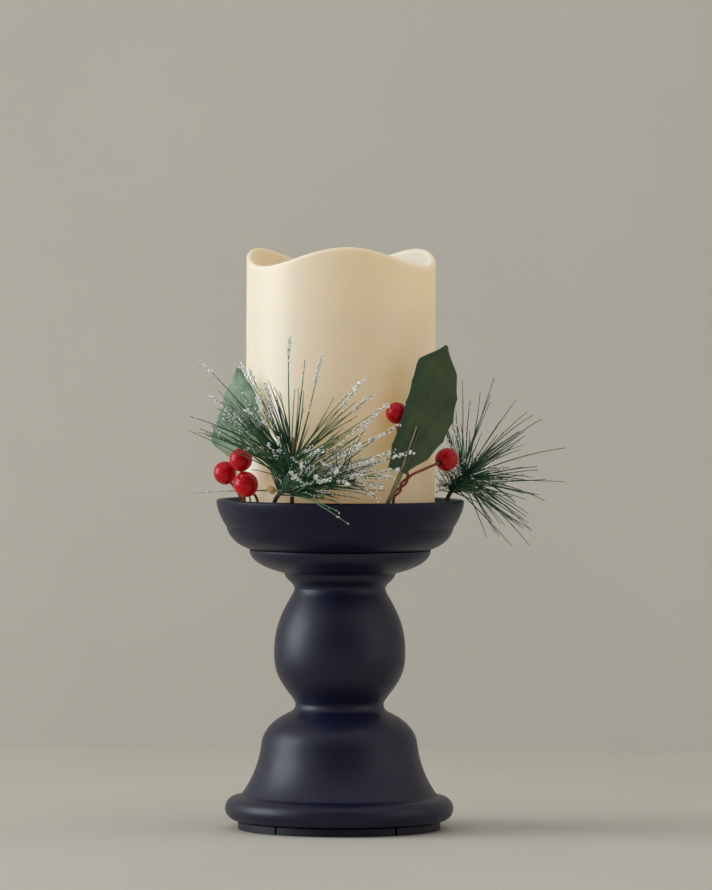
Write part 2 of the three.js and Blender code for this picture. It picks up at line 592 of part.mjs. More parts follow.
const CELL_FRONT_Y = BOX_FRONT + CELL_GAP + CELL_RADIUS;
const CELL_REAR_Y = BOX_REAR - CELL_GAP - CELL_RADIUS;

// A conical contact spring along X, drawn in towards its tip
class ConeCoil extends THREE.Curve {
  constructor(start, reach, y) {
    super();
    Object.assign(this, { start, reach, y });
  }

  getPoint(t, target = new THREE.Vector3()) {
    const angle = 2 * Math.PI * SPRING_TURNS * t;
    const radius = THREE.MathUtils.lerp(SPRING_BASE_RADIUS, SPRING_TIP_RADIUS, t);
    const level = CELL_LEVEL + radius * Math.sin(angle);
    return target.set(this.start + this.reach * t, this.y + radius * Math.cos(angle), level);
  }
}

// The least gap between two turns, measured on points at least half a turn apart
function leastGap(coil) {
  const steps = 240;
  const apart = Math.round(steps / SPRING_TURNS / 2);
  const points = coil.getPoints(steps);
  let least = Infinity;
  for (let i = 0; i + apart <= steps; i++) {
    for (let j = i + apart; j <= steps; j++) {
      least = Math.min(least, points[i].distanceTo(points[j]));
    }
  }
  return least - 2 * SPRING_WIRE;
}

// Contact plates stand against the end walls; side is the end of the box they stand at
function contactPlate(side, low, high) {
  const outer = BOX_LENGTH / 2 - SEAM;
  const x = [side * outer, side * (outer - CONTACT_THICKNESS)].sort((a, b) => a - b);
  return block(x, [low, high], [COVER_PLATE + 1, BOX_CEILING - 1]);
}

function contactSpring(side, y) {
  const plate = BOX_LENGTH / 2 - SEAM - CONTACT_THICKNESS / 2;
  const tip = CELL_BODY / 2 + SEAM + SPRING_WIRE;
  const coil = new ConeCoil(side * plate, side * (tip - plate), y);
  console.log("contact spring, least gap to itself", leastGap(coil).toFixed(2), "mm");
  return solidOf(tube(coil, SPRING_WIRE, 5, Math.round(SPRING_TURNS * 9)));
}

function contactBump(side, y) {
  const plate = BOX_LENGTH / 2 - SEAM - CONTACT_THICKNESS / 2;
  const face = CELL_BODY / 2 + CELL_NUB + SEAM;
  const x = [side * plate, side * face].sort((a, b) => a - b);
  return block(x, [y - CELL_NUB_RADIUS, y + CELL_NUB_RADIUS], [CELL_LEVEL - 2, CELL_LEVEL + 2]);
}

const plateHalf = CELL_RADIUS - 2;

function bridgeContact() {
  const plate = contactPlate(1, CELL_FRONT_Y - plateHalf, CELL_REAR_Y + plateHalf);
  return joined(plate, contactSpring(1, CELL_FRONT_Y), contactBump(1, CELL_REAR_Y));
}

function positiveContact() {
  return contactPlate(-1, CELL_FRONT_Y - plateHalf, CELL_FRONT_Y + plateHalf).add(
    contactBump(-1, CELL_FRONT_Y),
  );
}

function negativeContact() {
  return contactPlate(-1, CELL_REAR_Y - plateHalf, CELL_REAR_Y + plateHalf).add(
    contactSpring(-1, CELL_REAR_Y),
  );
}

// Battery door: hooks behind the box with two tongues and holds with a latch finger at the front
function batteryDoor() {
  const halfX = BOX_LENGTH / 2 + DOOR_LEDGE;
  const front = BOX_FRONT - DOOR_LEDGE;
  const rear = BOX_REAR + DOOR_LEDGE;
  let door = block([-halfX, halfX], [front, rear], [DOOR_RECESS, DOOR_TOP]);
  const tongueBottom = COVER_PLATE + SEAM;
  for (const side of [-1, 1]) {
    const x = [side * TONGUE_OFFSET - TONGUE_WIDTH / 2, side * TONGUE_OFFSET + TONGUE_WIDTH / 2];
    const root = BOX_REAR - DOOR_LEDGE;
    door = door.add(block(x, [root, rear], [DOOR_TOP - 0.5, tongueBottom + TONGUE_THICKNESS]));
    door = door.add(
      block(x, [root, rear + TONGUE_REACH], [tongueBottom, tongueBottom + TONGUE_THICKNESS]),
    );
  }
  const finger = block(
    [-LATCH_WIDTH / 2, LATCH_WIDTH / 2],
    [BOX_FRONT + SEAM, BOX_FRONT + 3 * SEAM],
    [DOOR_TOP - 0.5, DOOR_TOP + LATCH_HEIGHT],
  );
  const grip = block(
    [-LATCH_WIDTH / 2, LATCH_WIDTH / 2],
    [front - 1, front + 1.6],
    [DOOR_RECESS - 1, DOOR_RECESS + 0.6],
  );
  return door.add(finger).subtract(grip);
}

// Slide switch: its body hangs under the board and its knob reaches down into the cover's slot
const SWITCH_TOP = BOARD_LEVEL - SEAM;
const SWITCH_BOTTOM = SWITCH_TOP - SWITCH_HEIGHT;

function switchBody() {
  const body = block(
    [-SWITCH_LENGTH / 2, SWITCH_LENGTH / 2],
    [SWITCH_Y - SWITCH_WIDTH / 2, SWITCH_Y + SWITCH_WIDTH / 2],
    [SWITCH_BOTTOM, SWITCH_TOP],
  );
  const slotX = KNOB_LENGTH / 2 + SWITCH_TRAVEL + SEAM;
  const slotY = KNOB_WIDTH / 2 + SEAM;
  const slot = [SWITCH_BOTTOM - 1, SWITCH_BOTTOM + SWITCH_HEIGHT / 2];
  return body.subtract(block([-slotX, slotX], [SWITCH_Y - slotY, SWITCH_Y + slotY], slot));
}

function switchKnob() {
  const half = KNOB_LENGTH / 2;
  const y = [SWITCH_Y - KNOB_WIDTH / 2, SWITCH_Y + KNOB_WIDTH / 2];
  const top = SWITCH_BOTTOM + SWITCH_HEIGHT / 2 - SEAM;
  let knob = block([-half, half], y, [DOOR_RECESS, top]);
  for (const x of [-half * 0.5, 0, half * 0.5]) {
    knob = knob.subtract(block([x - 0.25, x + 0.25], [y[0] - 1, y[1] + 1], [0, DOOR_RECESS + 0.4]));
  }
  return knob;
}

const BOARD_TOP = BOARD_LEVEL + BOARD_THICKNESS;

function timerBoard() {
  let board = block(
    [-BOARD_LENGTH / 2, BOARD_LENGTH / 2],
    [BOARD_Y - BOARD_WIDTH / 2, BOARD_Y + BOARD_WIDTH / 2],
    [BOARD_LEVEL, BOARD_TOP],
  );
  for (const side of [-1, 1]) {
    const x = side * BOARD_POST_OFFSET;
    board = board.subtract(post(SCREW_HOLE_RADIUS, BOARD_LEVEL - 1, BOARD_TOP + 1, x, BOARD_Y));
  }
  return board;
}

function timerChip() {
  const low = BOARD_TOP + SEAM;
  return block([-3, 3], [BOARD_Y - 2, BOARD_Y + 2], [low, low + 1.6]);
}

// Leads: board to lamp up through the hollow stem, and battery contacts to board
const leadStart = (x) => new THREE.Vector3(x, BOARD_Y + BOARD_WIDTH / 2 - 2, BOARD_TOP + 2 * SEAM);

function lampLead(side) {
  const x = (side * LEAD_SPACING) / 2;
  const end = DECK_BOTTOM - LED_BOARD_THICKNESS - 2 * SEAM;
  const start = leadStart(3 * x);
  return tube(
    smoothLine([
      start,
      start.clone().add(new THREE.Vector3(0, 0, 4)),
      new THREE.Vector3(x, -4, BELL_WAIST),
      new THREE.Vector3(x, 0, STEM_BOTTOM),
      new THREE.Vector3(x, 1, (STEM_BOTTOM + STEM_TOP) / 2),
      new THREE.Vector3(x, 0, FLOOR_LEVEL),
      new THREE.Vector3(x, -1, (FLOOR_LEVEL + end) / 2),
      new THREE.Vector3(x, 0, end - 6),
      new THREE.Vector3(x, 0, end),
    ]),
    LEAD_RADIUS, 5, 20,
  );
}

function batteryLead(contactY, boardX, lift) {
  const x = -BOX_LENGTH / 2 + 1;
  const over = BOX_CEILING + BOX_WALL + 2 * LEAD_RADIUS + SEAM;
  const start = leadStart(boardX);
  return tube(
    smoothLine([
      new THREE.Vector3(x, contactY, BOX_CEILING - 1 + SEAM),
      new THREE.Vector3(x, contactY, over),
      new THREE.Vector3(x + 4, contactY - 4, over + lift),
      new THREE.Vector3((x + boardX) / 2, BOX_FRONT - 3, over + lift),
      start.clone().add(new THREE.Vector3(0, 1, 4)),
      start,
    ]),
    LEAD_RADIUS, 5, 14,
  );
}

// Garland places: inside the trough between candle and dish, and free above the rim
const STEM_FOOT = SEAM + 2 * WREATH_WIRE + SEAM; // above the dish floor, on the wreath wire

function troughSpot(azimuth, rise) {
  const share = rise / (RIM_LEVEL - FLOOR_LEVEL);
  const wall = THREE.MathUtils.lerp(FLOOR_RADIUS, RIM_INNER_RADIUS, share);
  return around(azimuth, (CANDLE_RADIUS + wall) / 2, FLOOR_LEVEL + rise);
}

const spot = (azimuth, out, rise) => around(azimuth, CANDLE_RADIUS + out, RIM_LEVEL + rise);
const rooted = (azimuth) => [troughSpot(azimuth, STEM_FOOT), troughSpot(azimuth, STEM_FOOT + 7)];

function wreathWire() {
  const middle = (CANDLE_RADIUS + FLOOR_RADIUS) / 2;
  const hoop = new THREE.TorusGeometry(middle, WREATH_WIRE, 5, 28);
  return hoop.translate(0, 0, FLOOR_LEVEL + SEAM + WREATH_WIRE);
}

// Berries: a little taller than wide, with a dimple at the far end from the wire
const berries = [
  { name: "berry_left_outer", centre: spot(-62, 13.8, 11), radius: 4.6, foot: -66, via: [-65, 6, 1.5] },
  { name: "berry_left_upper", centre: spot(-51.5, 12.3, 16.4), radius: 4.6, foot: -61.5, via: [-60, 7, 4] },
  { name: "berry_left_front", centre: spot(-47.4, 12.7, 6.8), radius: 5.0, foot: -50, via: [-49.5, 5.5, 1] },
  { name: "berry_right_inner", centre: spot(31.2, 4.9, 35), radius: 4.3 },
  { name: "berry_right_outer", centre: spot(64.3, 8.9, 16.5), radius: 4.6 },
];

function berry({ centre, radius }, wireEnd) {
  const outline = new THREE.Path().moveTo(0, -radius);
  outline.absarc(0, 0, radius, -Math.PI / 2, Math.PI * 0.43);
  outline.lineTo(0, radius * 0.9);
  const geometry = turned(outline, 3, 12);
  const away = centre.clone().sub(wireEnd).normalize();
  geometry.applyQuaternion(new THREE.Quaternion().setFromUnitVectors(new THREE.Vector3(0, 0, 1), away));
  return geometry.translate(...centre);
}

// The end of a wire stops just short of the berry that it carries
function wireEnd({ centre, radius }, before) {
  const back = before.clone().sub(centre).normalize();
  return centre.clone().addScaledVector(back, radius + SEAM);
}

// Two wires twisted round each other, then parting: half is 0 for one and PI for the other
function twistedPoints(half) {
  const low = spot(28, 5.0, 1);
  const high = spot(38.5, 6.5, 11);
  const points = [];
  for (let i = 0; i <= 8; i++) {
    const angle = half + (2 * Math.PI * 1.5 * i) / 8;
    const centre = low.clone().lerp(high, i / 8);
    centre.x += TWIST_RADIUS * Math.cos(angle);
    centre.y += TWIST_RADIUS * Math.sin(angle);
    points.push(centre);
  }
  return points;
}

// Leaves: a thin sheet; its half-widths to the left and right of the midrib are given at even steps
// from foot to tip, its edges are notched between those steps, and it folds along the midrib
function leafSheet(leaf) {
  const steps = 2 * (leaf.left.length - 1);
  const sheet = new THREE.BoxGeometry(2, 1, LEAF_THICKNESS, 2, steps, 1);
  const position = sheet.getAttribute("position");
  for (let i = 0; i < position.count; i++) {
    const point = leafPoint(position.getX(i), position.getY(i) + 0.5, leaf);
    position.setXYZ(i, point.x, point.y, point.z + position.getZ(i));
  }
  return sheet;
}

function leafPoint(across, along, leaf) {
  const widths = across < 0 ? leaf.left : leaf.right;
  const place = along * (widths.length - 1);
  const before = Math.min(Math.floor(place), widths.length - 2);
  const width = THREE.MathUtils.lerp(widths[before], widths[before + 1], place - before);
  const notch = 1 - leaf.notch * Math.abs(Math.sin(Math.PI * place)) * (Math.abs(across) > 0.99);
  const x = across * width * notch;
  return new THREE.Vector3(x, leaf.length * along, -leaf.fold * Math.abs(x));
}

// Turns a leaf from its own plane to where it stands: it faces an azimuth, leans sideways and back
function leafPlace({ base, facing, lean, back }) {
  const outward = around(facing, 1, 0);
  const sideways = around(facing + 90, 1, 0);
  const leanAngle = THREE.MathUtils.degToRad(lean);
  const backAngle = THREE.MathUtils.degToRad(back);
  const up = new THREE.Vector3(0, 0, Math.cos(leanAngle)).addScaledVector(sideways, Math.sin(leanAngle));
  up.multiplyScalar(Math.cos(backAngle)).addScaledVector(outward, -Math.sin(backAngle)).normalize();
  const across = new THREE.Vector3().crossVectors(up, outward).normalize();
  const normal = new THREE.Vector3().crossVectors(across, up);
  return new THREE.Matrix4().makeBasis(across, up, normal).setPosition(base);
}

const leaves = [
  {
    name: "leaf_left", finish: PALE_LEAF, foot: -57, via: [-57, 5.0, 1.5],
    base: spot(-57.5, 8.4, 14.4), facing: -20, lean: -4, back: 4, length: 38, notch: 0.04, fold: 0.06,
    left: [2.4, 12.6, 9.4, 6.2, 0.8], right: [3, 9, 8.6, 6.6, 0.8],
  },
  {
    name: "leaf_right", finish: LEAF_GREEN, foot: 22.5, via: [26, 7.6, 2.4],
    base: spot(29, 11.5, 12), facing: 24, lean: 21, back: -1, length: 53, notch: 0.06, fold: 0.15,
    left: [5.5, 7.2, 7.6, 8, 8.4, 8.6, 0.8], right: [2, 9.5, 13.6, 14.6, 12.6, 8.8, 0.8],
  },
];

function leafStem(leaf) {
  const into = new THREE.Vector3(0, leaf.length * 0.35, 0).applyMatrix4(leafPlace(leaf));
  return smoothLine([...rooted(leaf.foot), spot(...leaf.via), leaf.base, into]);
}

function leafPiece(leaf) {
  const sheet = leafSheet(leaf).applyMatrix4(leafPlace(leaf));
  return solidOf(sheet).add(solidOf(tube(leafStem(leaf), LEAF_STEM, 6, 14)));
}

// Pine sprigs: a wired stem with needles that lie wide at its foot and close to its way at the tip;
// no needle hangs lower than the given level, counted from the rim
const sprigs = [
  {
    name: "pine_sprig_upright", count: 105, foot: -29, lay: [88, 14], length: [32, 52], lowest: -3,
    path: [[-26, 5.4, 1], [-25, 8, 9], [-23.5, 9, 17]],
  },
  {
    name: "pine_sprig_sweep", count: 110, foot: -40.5, lay: [80, 12], length: [26, 40], lowest: -1,
    path: [[-36, 5.6, 1], [-24, 12, 5], [-8, 11.5, 7.5], [7, 10, 8.6]],
  },
  {
    name: "pine_sprig_right", count: 120, foot: 95, lay: [100, 14], length: [28, 46], lowest: -22,
    path: [[96, 5.6, 1], [97, 9.5, 6], [98, 13.5, 10]],
  },
];

function sprigStem(sprig) {
  return smoothLine([...rooted(sprig.foot), ...sprig.path.map((p) => spot(...p))]);
}

// A repeatable stream of numbers from 0 to 1
function stream(seed) {
  let state = seed;
  return () => {
    state = (state * 1664525 + 1013904223) % 4294967296;
    return state / 4294967296;
  };
}

const samplesOf = (line) => Array.from({ length: 41 }, (_, i) => line.at(i / 40, new THREE.Vector3()));

// True where a needle would touch the candle, the dish, or anything in the list of balls
function blocked(points, balls) {
  return points.some((p) => {
    const radius = Math.hypot(p.x, p.y);
    if (radius < CANDLE_RADIUS + NEEDLE_CLEAR && p.z < CANDLE_TOP + WAVE_HEIGHT + NEEDLE_CLEAR) return true;
    if (radius < RIM_RADIUS + NEEDLE_CLEAR && p.z < RIM_LEVEL + NEEDLE_CLEAR) return true;
    return balls.some((ball) => ball.centre.distanceTo(p) < ball.radius + NEEDLE_CLEAR);
  });
}

// No needle crosses or touches another outside the bark
function crossing(line, grown, spacing) {
  return grown.some((other) => line.distanceSqToLine3(other) < spacing * spacing);
}

// How far along its stem a sprig clears the rim of the dish
function barkStart(stem) {
  const shares = Array.from({ length: 100 }, (_, i) => i / 100);
  return shares.find((share) => stem.getPointAt(share).z > RIM_LEVEL + PINE_BARK + NEEDLE_CLEAR);
}

function growNeedles(sprig, random, balls, grown) {
  const stem = sprigStem(sprig);
  const start = barkStart(stem);
  const between = ([low, high]) => THREE.MathUtils.lerp(low, high, random());
  const needles = [];
  const lines = [];
  for (let tries = 0; needles.length < sprig.count && tries < 150 * sprig.count; tries++) {
    const place = random();
    const share = THREE.MathUtils.lerp(start, 0.995, place);
    const way = stem.getTangentAt(share);
    const aside = new THREE.Vector3(random() - 0.5, random() - 0.5, random() - 0.5);
    aside.projectOnPlane(way).normalize();
    const lay = THREE.MathUtils.lerp(...sprig.lay, place) + between([-9, 9]);
    const reach = way.clone().multiplyScalar(Math.cos(THREE.MathUtils.degToRad(lay)));
    reach.addScaledVector(aside, Math.sin(THREE.MathUtils.degToRad(lay))).setLength(between(sprig.length));
    const root = stem.getPointAt(share);
    const leaving = root.clone().addScaledVector(reach, PINE_BARK / reach.length());
    const line = new THREE.Line3(leaving, root.clone().add(reach));
    if (line.end.z < RIM_LEVEL + sprig.lowest) continue;
    if (crossing(line, lines, NEEDLE_SPACING) || crossing(line, grown, NEEDLE_SPACING + FIT)) continue;
    if (blocked(samplesOf(line), balls)) continue;
    lines.push(line);
    needles.push({ root, reach });
  }
  grown.push(...lines);
  console.log(sprig.name, "needles", needles.length);
  return needles;
}

// The stem is thin where it stands in the trough and thick with bark where needles grow
function sprigWood(sprig) {
  const stem = sprigStem(sprig);
  const start = barkStart(stem);
  const barkLine = [0, 0.2, 0.4, 0.6, 0.8, 1].map((share) => {
    return stem.getPointAt(THREE.MathUtils.lerp(start, 1, share));
  });
  const bark = tube(smoothLine(barkLine), PINE_BARK, 6, 6);
  return joined(solidOf(tube(stem, PINE_STEM, 5, 10)), solidOf(bark));
}

function needleSolid({ root, reach }) {
  const length = reach.length();
  const spike = new THREE.ConeGeometry(NEEDLE_RADIUS, length, 3, 1).translate(0, length / 2, 0);
  const way = reach.clone().normalize();
  spike.applyQuaternion(new THREE.Quaternion().setFromUnitVectors(new THREE.Vector3(0, 1, 0), way));
  return solidOf(spike.translate(...root));
}

const ballsAlong = (curve, radius, steps) =>
  curve.getSpacedPoints(steps).map((centre) => ({ centre, radius }));

function ballsOver(leaf) {
  const place = leafPlace(leaf);
  const balls = [];
  for (let i = 0; i <= 20; i++) {
    for (let j = -4; j <= 4; j++) {
      balls.push({ centre: leafPoint(j / 4, i / 20, leaf).applyMatrix4(place), radius: 1.8 });
    }
  }
  return balls;
}

// A cut twig end that carries on where a stem stops
function twig(start, towards, length, radius) {
  const geometry = new THREE.CylinderGeometry(radius * 0.85, radius, length, 8).translate(0, length / 2, 0);
  const upright = new THREE.Vector3(0, 1, 0);
  geometry.applyQuaternion(new THREE.Quaternion().setFromUnitVectors(upright, towards.clone().normalize()));
  return geometry.translate(...start);
}

// Assembly: pedestal
addPiece("bottom_cover", bottomCover(), BLACK_PLASTIC);
addPiece("base_bell", baseBell(), NAVY);
addPiece("stem_bulb", stemBulb(), NAVY);
addPiece("collar", collar(), NAVY);
addPiece("dish", dish(), NAVY);
coverScrewAzimuths.forEach((azimuth, i) => {
  const place = around(azimuth, COVER_SCREW_CIRCLE, DOOR_RECESS);
  addPiece(`cover_screw_${i + 1}`, screw(COVER_SCREW_LENGTH), STEEL).position.copy(place);
});

// Assembly: battery box, switch and timer board
addPiece("battery_door", batteryDoor(), BLACK_PLASTIC);
addPiece("cell_front", cell(-1, CELL_FRONT_Y), CELL_JACKET);
addPiece("cell_rear", cell(1, CELL_REAR_Y), CELL_JACKET);
addPiece("bridge_contact", bridgeContact(), STEEL);
addPiece("positive_contact", positiveContact(), STEEL);
addPiece("negative_contact", negativeContact(), STEEL);
addPiece("switch_body", switchBody(), BLACK_PLASTIC);
addPiece("switch_knob", switchKnob(), BLACK_PLASTIC);
addPiece("timer_board", timerBoard(), BOARD_GREEN);
addPiece("timer_chip", timerChip(), CHIP_BLACK);
[-1, 1].forEach((side, i) => {
  const fixing = addPiece(`board_screw_${i + 1}`, screw(BOARD_SCREW_LENGTH), STEEL);
  fixing.rotation.x = Math.PI;
  fixing.position.set(side * BOARD_POST_OFFSET, BOARD_Y, BOARD_TOP + SEAM + SCREW_HEAD);
});
addPiece("battery_lead_positive", batteryLead(BOX_FRONT + 4, -12, 1), RED_LEAD);
addPiece("battery_lead_negative", batteryLead(BOX_REAR - 6, -8, 5), BLACK_LEAD);
addPiece("lamp_lead_positive", lampLead(-1), RED_LEAD);
addPiece("lamp_lead_negative", lampLead(1), BLACK_LEAD);

// Assembly: candle
addPiece("candle_shell", candleShell(), IVORY);
addPiece("candle_deck", candleDeck(), IVORY);
addPiece("candle_base", candleBase(), IVORY);
addPiece("led_board", ledBoard(), BOARD_GREEN);
addPiece("led_lamp", ledLamp(), LED_CLEAR);
candleScrewAzimuths.forEach((azimuth, i) => {
  const headLevel = FLOOR_LEVEL - DISH_FLOOR - SEAM - SCREW_HEAD;
  const place = around(azimuth, CANDLE_SCREW_CIRCLE, headLevel);
  addPiece(`candle_screw_${i + 1}`, screw(CANDLE_SCREW_LENGTH), STEEL).position.copy(place);
});

// Assembly: garland
addPiece("wreath_wire", wreathWire(), WREATH_BROWN);
const balls = [];
for (const leaf of leaves) {
  addPiece(leaf.name, leafPiece(leaf), leaf.finish);
  balls.push(...ballsOver(leaf), ...ballsAlong(leafStem(leaf), LEAF_STEM, 24));
}
for (const fruit of berries) {
  balls.push({ centre: fruit.centre, radius: fruit.radius });
}
for (const fruit of berries.slice(0, 3)) {
  const via = spot(...fruit.via);
  const end = wireEnd(fruit, via);
  const line = smoothLine([...rooted(fruit.foot), via, end]);
  addPiece(fruit.name, berry(fruit, end), BERRY_RED);
  addPiece(`${fruit.name}_wire`, tube(line, BERRY_WIRE, 4, 10), RUST_WIRE);
  balls.push(...ballsAlong(line, BERRY_WIRE, 20));
}
const [innerBerry, outerBerry] = berries.slice(3);
const partings = [
  { fruit: innerBerry, half: 0, foot: 30, via: spot(34.5, 3.4, 22) },
  { fruit: outerBerry, half: Math.PI, foot: 26.5, via: spot(48, 7, 13) },
];
for (const { fruit, half, foot, via } of partings) {
  const end = wireEnd(fruit, via);
  const line = smoothLine([...rooted(foot), ...twistedPoints(half), via, end]);
  addPiece(fruit.name, berry(fruit, end), BERRY_RED);
  addPiece(`${fruit.name}_wire`, tube(line, BERRY_WIRE, 4, 28), RUST_WIRE);
  balls.push(...ballsAlong(line, BERRY_WIRE, 40));
}
const uprightStem = sprigStem(sprigs[0]);
const tip = uprightStem.getPoint(1);
const tipWay = uprightStem.getTangent(1);
addPiece("twig_upper", twig(tip.clone().addScaledVector(tipWay, 2 * SEAM), tipWay, 8, 1.3), TWIG_TAN);
const lowerTwig = { start: spot(-31, 13.5, 4.6), towards: new THREE.Vector3(-0.2, -1, 0.25) };
addPiece("twig_lower", twig(lowerTwig.start, lowerTwig.towards, 5, 1.5), TWIG_TAN);
balls.push({ centre: lowerTwig.start.clone().addScaledVector(lowerTwig.towards, 2.5), radius: 3 });
balls.push(...ballsAlong(smoothLine([tip, tip.clone().addScaledVector(tipWay, 8.5)]), 1.3, 8));
const random = stream(NEEDLE_SEED);
const grown = [];
for (const sprig of sprigs) {
  const others = sprigs.filter((other) => other !== sprig);
  const stems = others.flatMap((other) => ballsAlong(sprigStem(other), PINE_BARK, 40));
  const needles = growNeedles(sprig, random, [...balls, ...stems], grown);
  addPiece(sprig.name, joined(sprigWood(sprig), ...needles.map(needleSolid)), PINE_GREEN);
}

export default candlestick;
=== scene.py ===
# %% [markdown]
# # A battery candlestick, dressed in Blender
# The CAD model comes in as a fixed frame: every solid is already in its place and has its size.
# This lesson gives each visible solid a finer surface, a garland that looks grown rather than built,
# and materials made only of nodes. Millimetres are used for the numbers and metres for the scene.

# %% Load the frame
import math
import random

import bmesh
import bpy
from mathutils import Matrix, Vector


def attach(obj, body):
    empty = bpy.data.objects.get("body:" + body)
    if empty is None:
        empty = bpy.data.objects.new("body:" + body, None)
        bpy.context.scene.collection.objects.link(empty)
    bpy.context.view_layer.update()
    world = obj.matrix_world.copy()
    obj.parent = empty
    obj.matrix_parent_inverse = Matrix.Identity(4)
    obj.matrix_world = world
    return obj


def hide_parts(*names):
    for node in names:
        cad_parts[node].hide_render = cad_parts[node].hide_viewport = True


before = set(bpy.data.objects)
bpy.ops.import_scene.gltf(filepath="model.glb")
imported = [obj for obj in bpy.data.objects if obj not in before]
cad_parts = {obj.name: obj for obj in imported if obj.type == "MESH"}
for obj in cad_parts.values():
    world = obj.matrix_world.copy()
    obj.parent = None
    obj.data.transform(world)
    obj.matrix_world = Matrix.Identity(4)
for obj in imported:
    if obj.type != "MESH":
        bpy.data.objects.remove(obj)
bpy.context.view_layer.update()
MM = 0.001
BODY = "candlestick"

# %% [markdown]
# ## Nodes by script
# Materials and Geometry Nodes are both trees of nodes. They could be drawn by hand in the editor, but a
# script can be read, changed and run again. One helper adds a node, fills its inputs with values or with
# links, and gives back one of its outputs. The others are short ways to the nodes that are used most.

# %% Node helpers
def connect(tree, socket, value):
    if isinstance(value, bpy.types.NodeSocket):
        tree.links.new(value, socket)
    else:
        socket.default_value = value


def named(sockets, name):
    return next(s for s in sockets if s.enabled and name in (None, s.name))


def node(tree, kind, inputs=None, output=None, **settings):
    made = tree.nodes.new(kind)
    for key, value in settings.items():
        setattr(made, key, value)
    for key, value in (inputs or {}).items():
        connect(tree, made.inputs[key] if isinstance(key, int) else named(made.inputs, key), value)
    return named(made.outputs, output)


def math_node(tree, operation, a, b=0.0, c=0.0):
    return node(tree, "ShaderNodeMath", {0: a, 1: b, 2: c}, operation=operation)


def times(tree, a, b):
    return math_node(tree, "MULTIPLY", a, b)


def axes_of(tree, place):
    return node(tree, "ShaderNodeSeparateXYZ", {"Vector": place}).node.outputs


def scaled(tree, vector, factor):
    return node(tree, "ShaderNodeVectorMath", {0: vector, "Scale": factor}, operation="SCALE")


def stretched(tree, vector, factors):
    return node(tree, "ShaderNodeVectorMath", {0: vector, 1: factors}, operation="MULTIPLY")


def distance(tree, vector):
    return node(tree, "ShaderNodeVectorMath", {0: vector}, "Value", operation="LENGTH")


def spread(tree, value, low, high, start=0.0, end=1.0, curve="LINEAR"):
    ends = {"From Min": start, "From Max": end, "To Min": low, "To Max": high}
    return node(tree, "ShaderNodeMapRange", {"Value": value, **ends}, interpolation_type=curve)


# %% [markdown]
# ## Materials
# Each material starts from a Principled shader. A flat colour would look like a toy, and an image would
# have to be painted. So noise in object coordinates varies the colour a little, a second noise varies the
# roughness, and a third one gives a fine bump, each at the scale of the real surface. What is the same
# all over is set on the shader itself. Colours are written as on a screen, from 0 to 255. After them a
# finish has its range of roughness, the scale of its mottling, and the scale and strength of its bump.

# %% Material helpers
def new_material(name):
    material = bpy.data.materials.new(name)
    material.use_nodes = True
    return material, material.node_tree


def feed(material, **values):
    tree = material.node_tree
    sockets = tree.nodes["Principled BSDF"].inputs
    for label, value in values.items():
        connect(tree, sockets[label.replace("_", " ")], value)
    return material


def srgb(*values):
    linear = [v / 255 / 12.92 if v <= 10 else ((v / 255 + 0.055) / 1.055) ** 2.4 for v in values]
    return (*linear, 1.0)


def object_place(tree):
    return node(tree, "ShaderNodeTexCoord", output="Object")


def noise(tree, scale, detail=2.0, stretch=None):
    place = object_place(tree)
    if stretch:
        place = node(tree, "ShaderNodeMapping", {"Vector": place, "Scale": stretch})
    return node(tree, "ShaderNodeTexNoise", {"Vector": place, "Scale": scale, "Detail": detail}, "Fac")


def ramp(tree, value, *stops):
    colour = node(tree, "ShaderNodeValToRGB", {"Fac": value}, "Color")
    elements = colour.node.color_ramp.elements
    while len(elements) < len(stops):
        elements.new(1.0)
    for element, (place, tone) in zip(elements, stops):
        element.position = place
        element.color = srgb(*tone)
    return colour


def bump(tree, height, strength, depth=0.0002):
    return node(tree, "ShaderNodeBump", {"Height": height, "Strength": strength, "Distance": depth})


def finish(name, dark, light, rough, scale, bump_scale, bump_strength, stretch=None, **constants):
    material, tree = new_material(name)
    colour = ramp(tree, noise(tree, scale, 4.0, stretch), (0.3, dark), (0.7, light))
    gloss = spread(tree, noise(tree, scale * 3, 3.0), *rough)
    relief = bump(tree, noise(tree, bump_scale, 2.0, stretch), bump_strength)
    return feed(material, Base_Color=colour, Roughness=gloss, Normal=relief, **constants)


# %% Paint, plastic and metal
def satin(name, shine):
    return finish(name, (9, 10, 40), (13, 14, 47), (0.36, 0.44), 60, 1100, 0.14, (0.4, 0.4, 1.5),
                  Specular_IOR_Level=shine)


SATIN = satin("pedestal_satin", 0.42)
DISH = satin("dish_satin", 0.27)
COVER = finish("cover_plastic", (11, 12, 32), (16, 17, 40), (0.46, 0.6), 90, 1800, 0.25,
               Specular_IOR_Level=0.35)
STEEL = finish("zinc_steel", (150, 152, 156), (188, 190, 192), (0.25, 0.42), 400, 3000, 0.12, Metallic=1.0)
NICKEL = finish("nickel_spring", (168, 166, 158), (205, 203, 196), (0.18, 0.3), 500, 3000, 0.08, Metallic=1.0)
JACKET = finish("cell_jacket", (120, 124, 130), (146, 150, 155), (0.3, 0.4), 120, 900, 0.06, Coat_Weight=0.3)
RESIST = finish("board_resist", (26, 70, 42), (38, 92, 56), (0.35, 0.5), 300, 2200, 0.2)
CHIP = finish("moulded_chip", (18, 18, 19), (30, 30, 31), (0.45, 0.6), 500, 4000, 0.3)
RED_LEAD = finish("lead_red", (128, 24, 22), (160, 36, 30), (0.4, 0.55), 300, 1500, 0.1)
BLACK_LEAD = finish("lead_black", (18, 18, 18), (32, 32, 32), (0.4, 0.55), 300, 1500, 0.1)

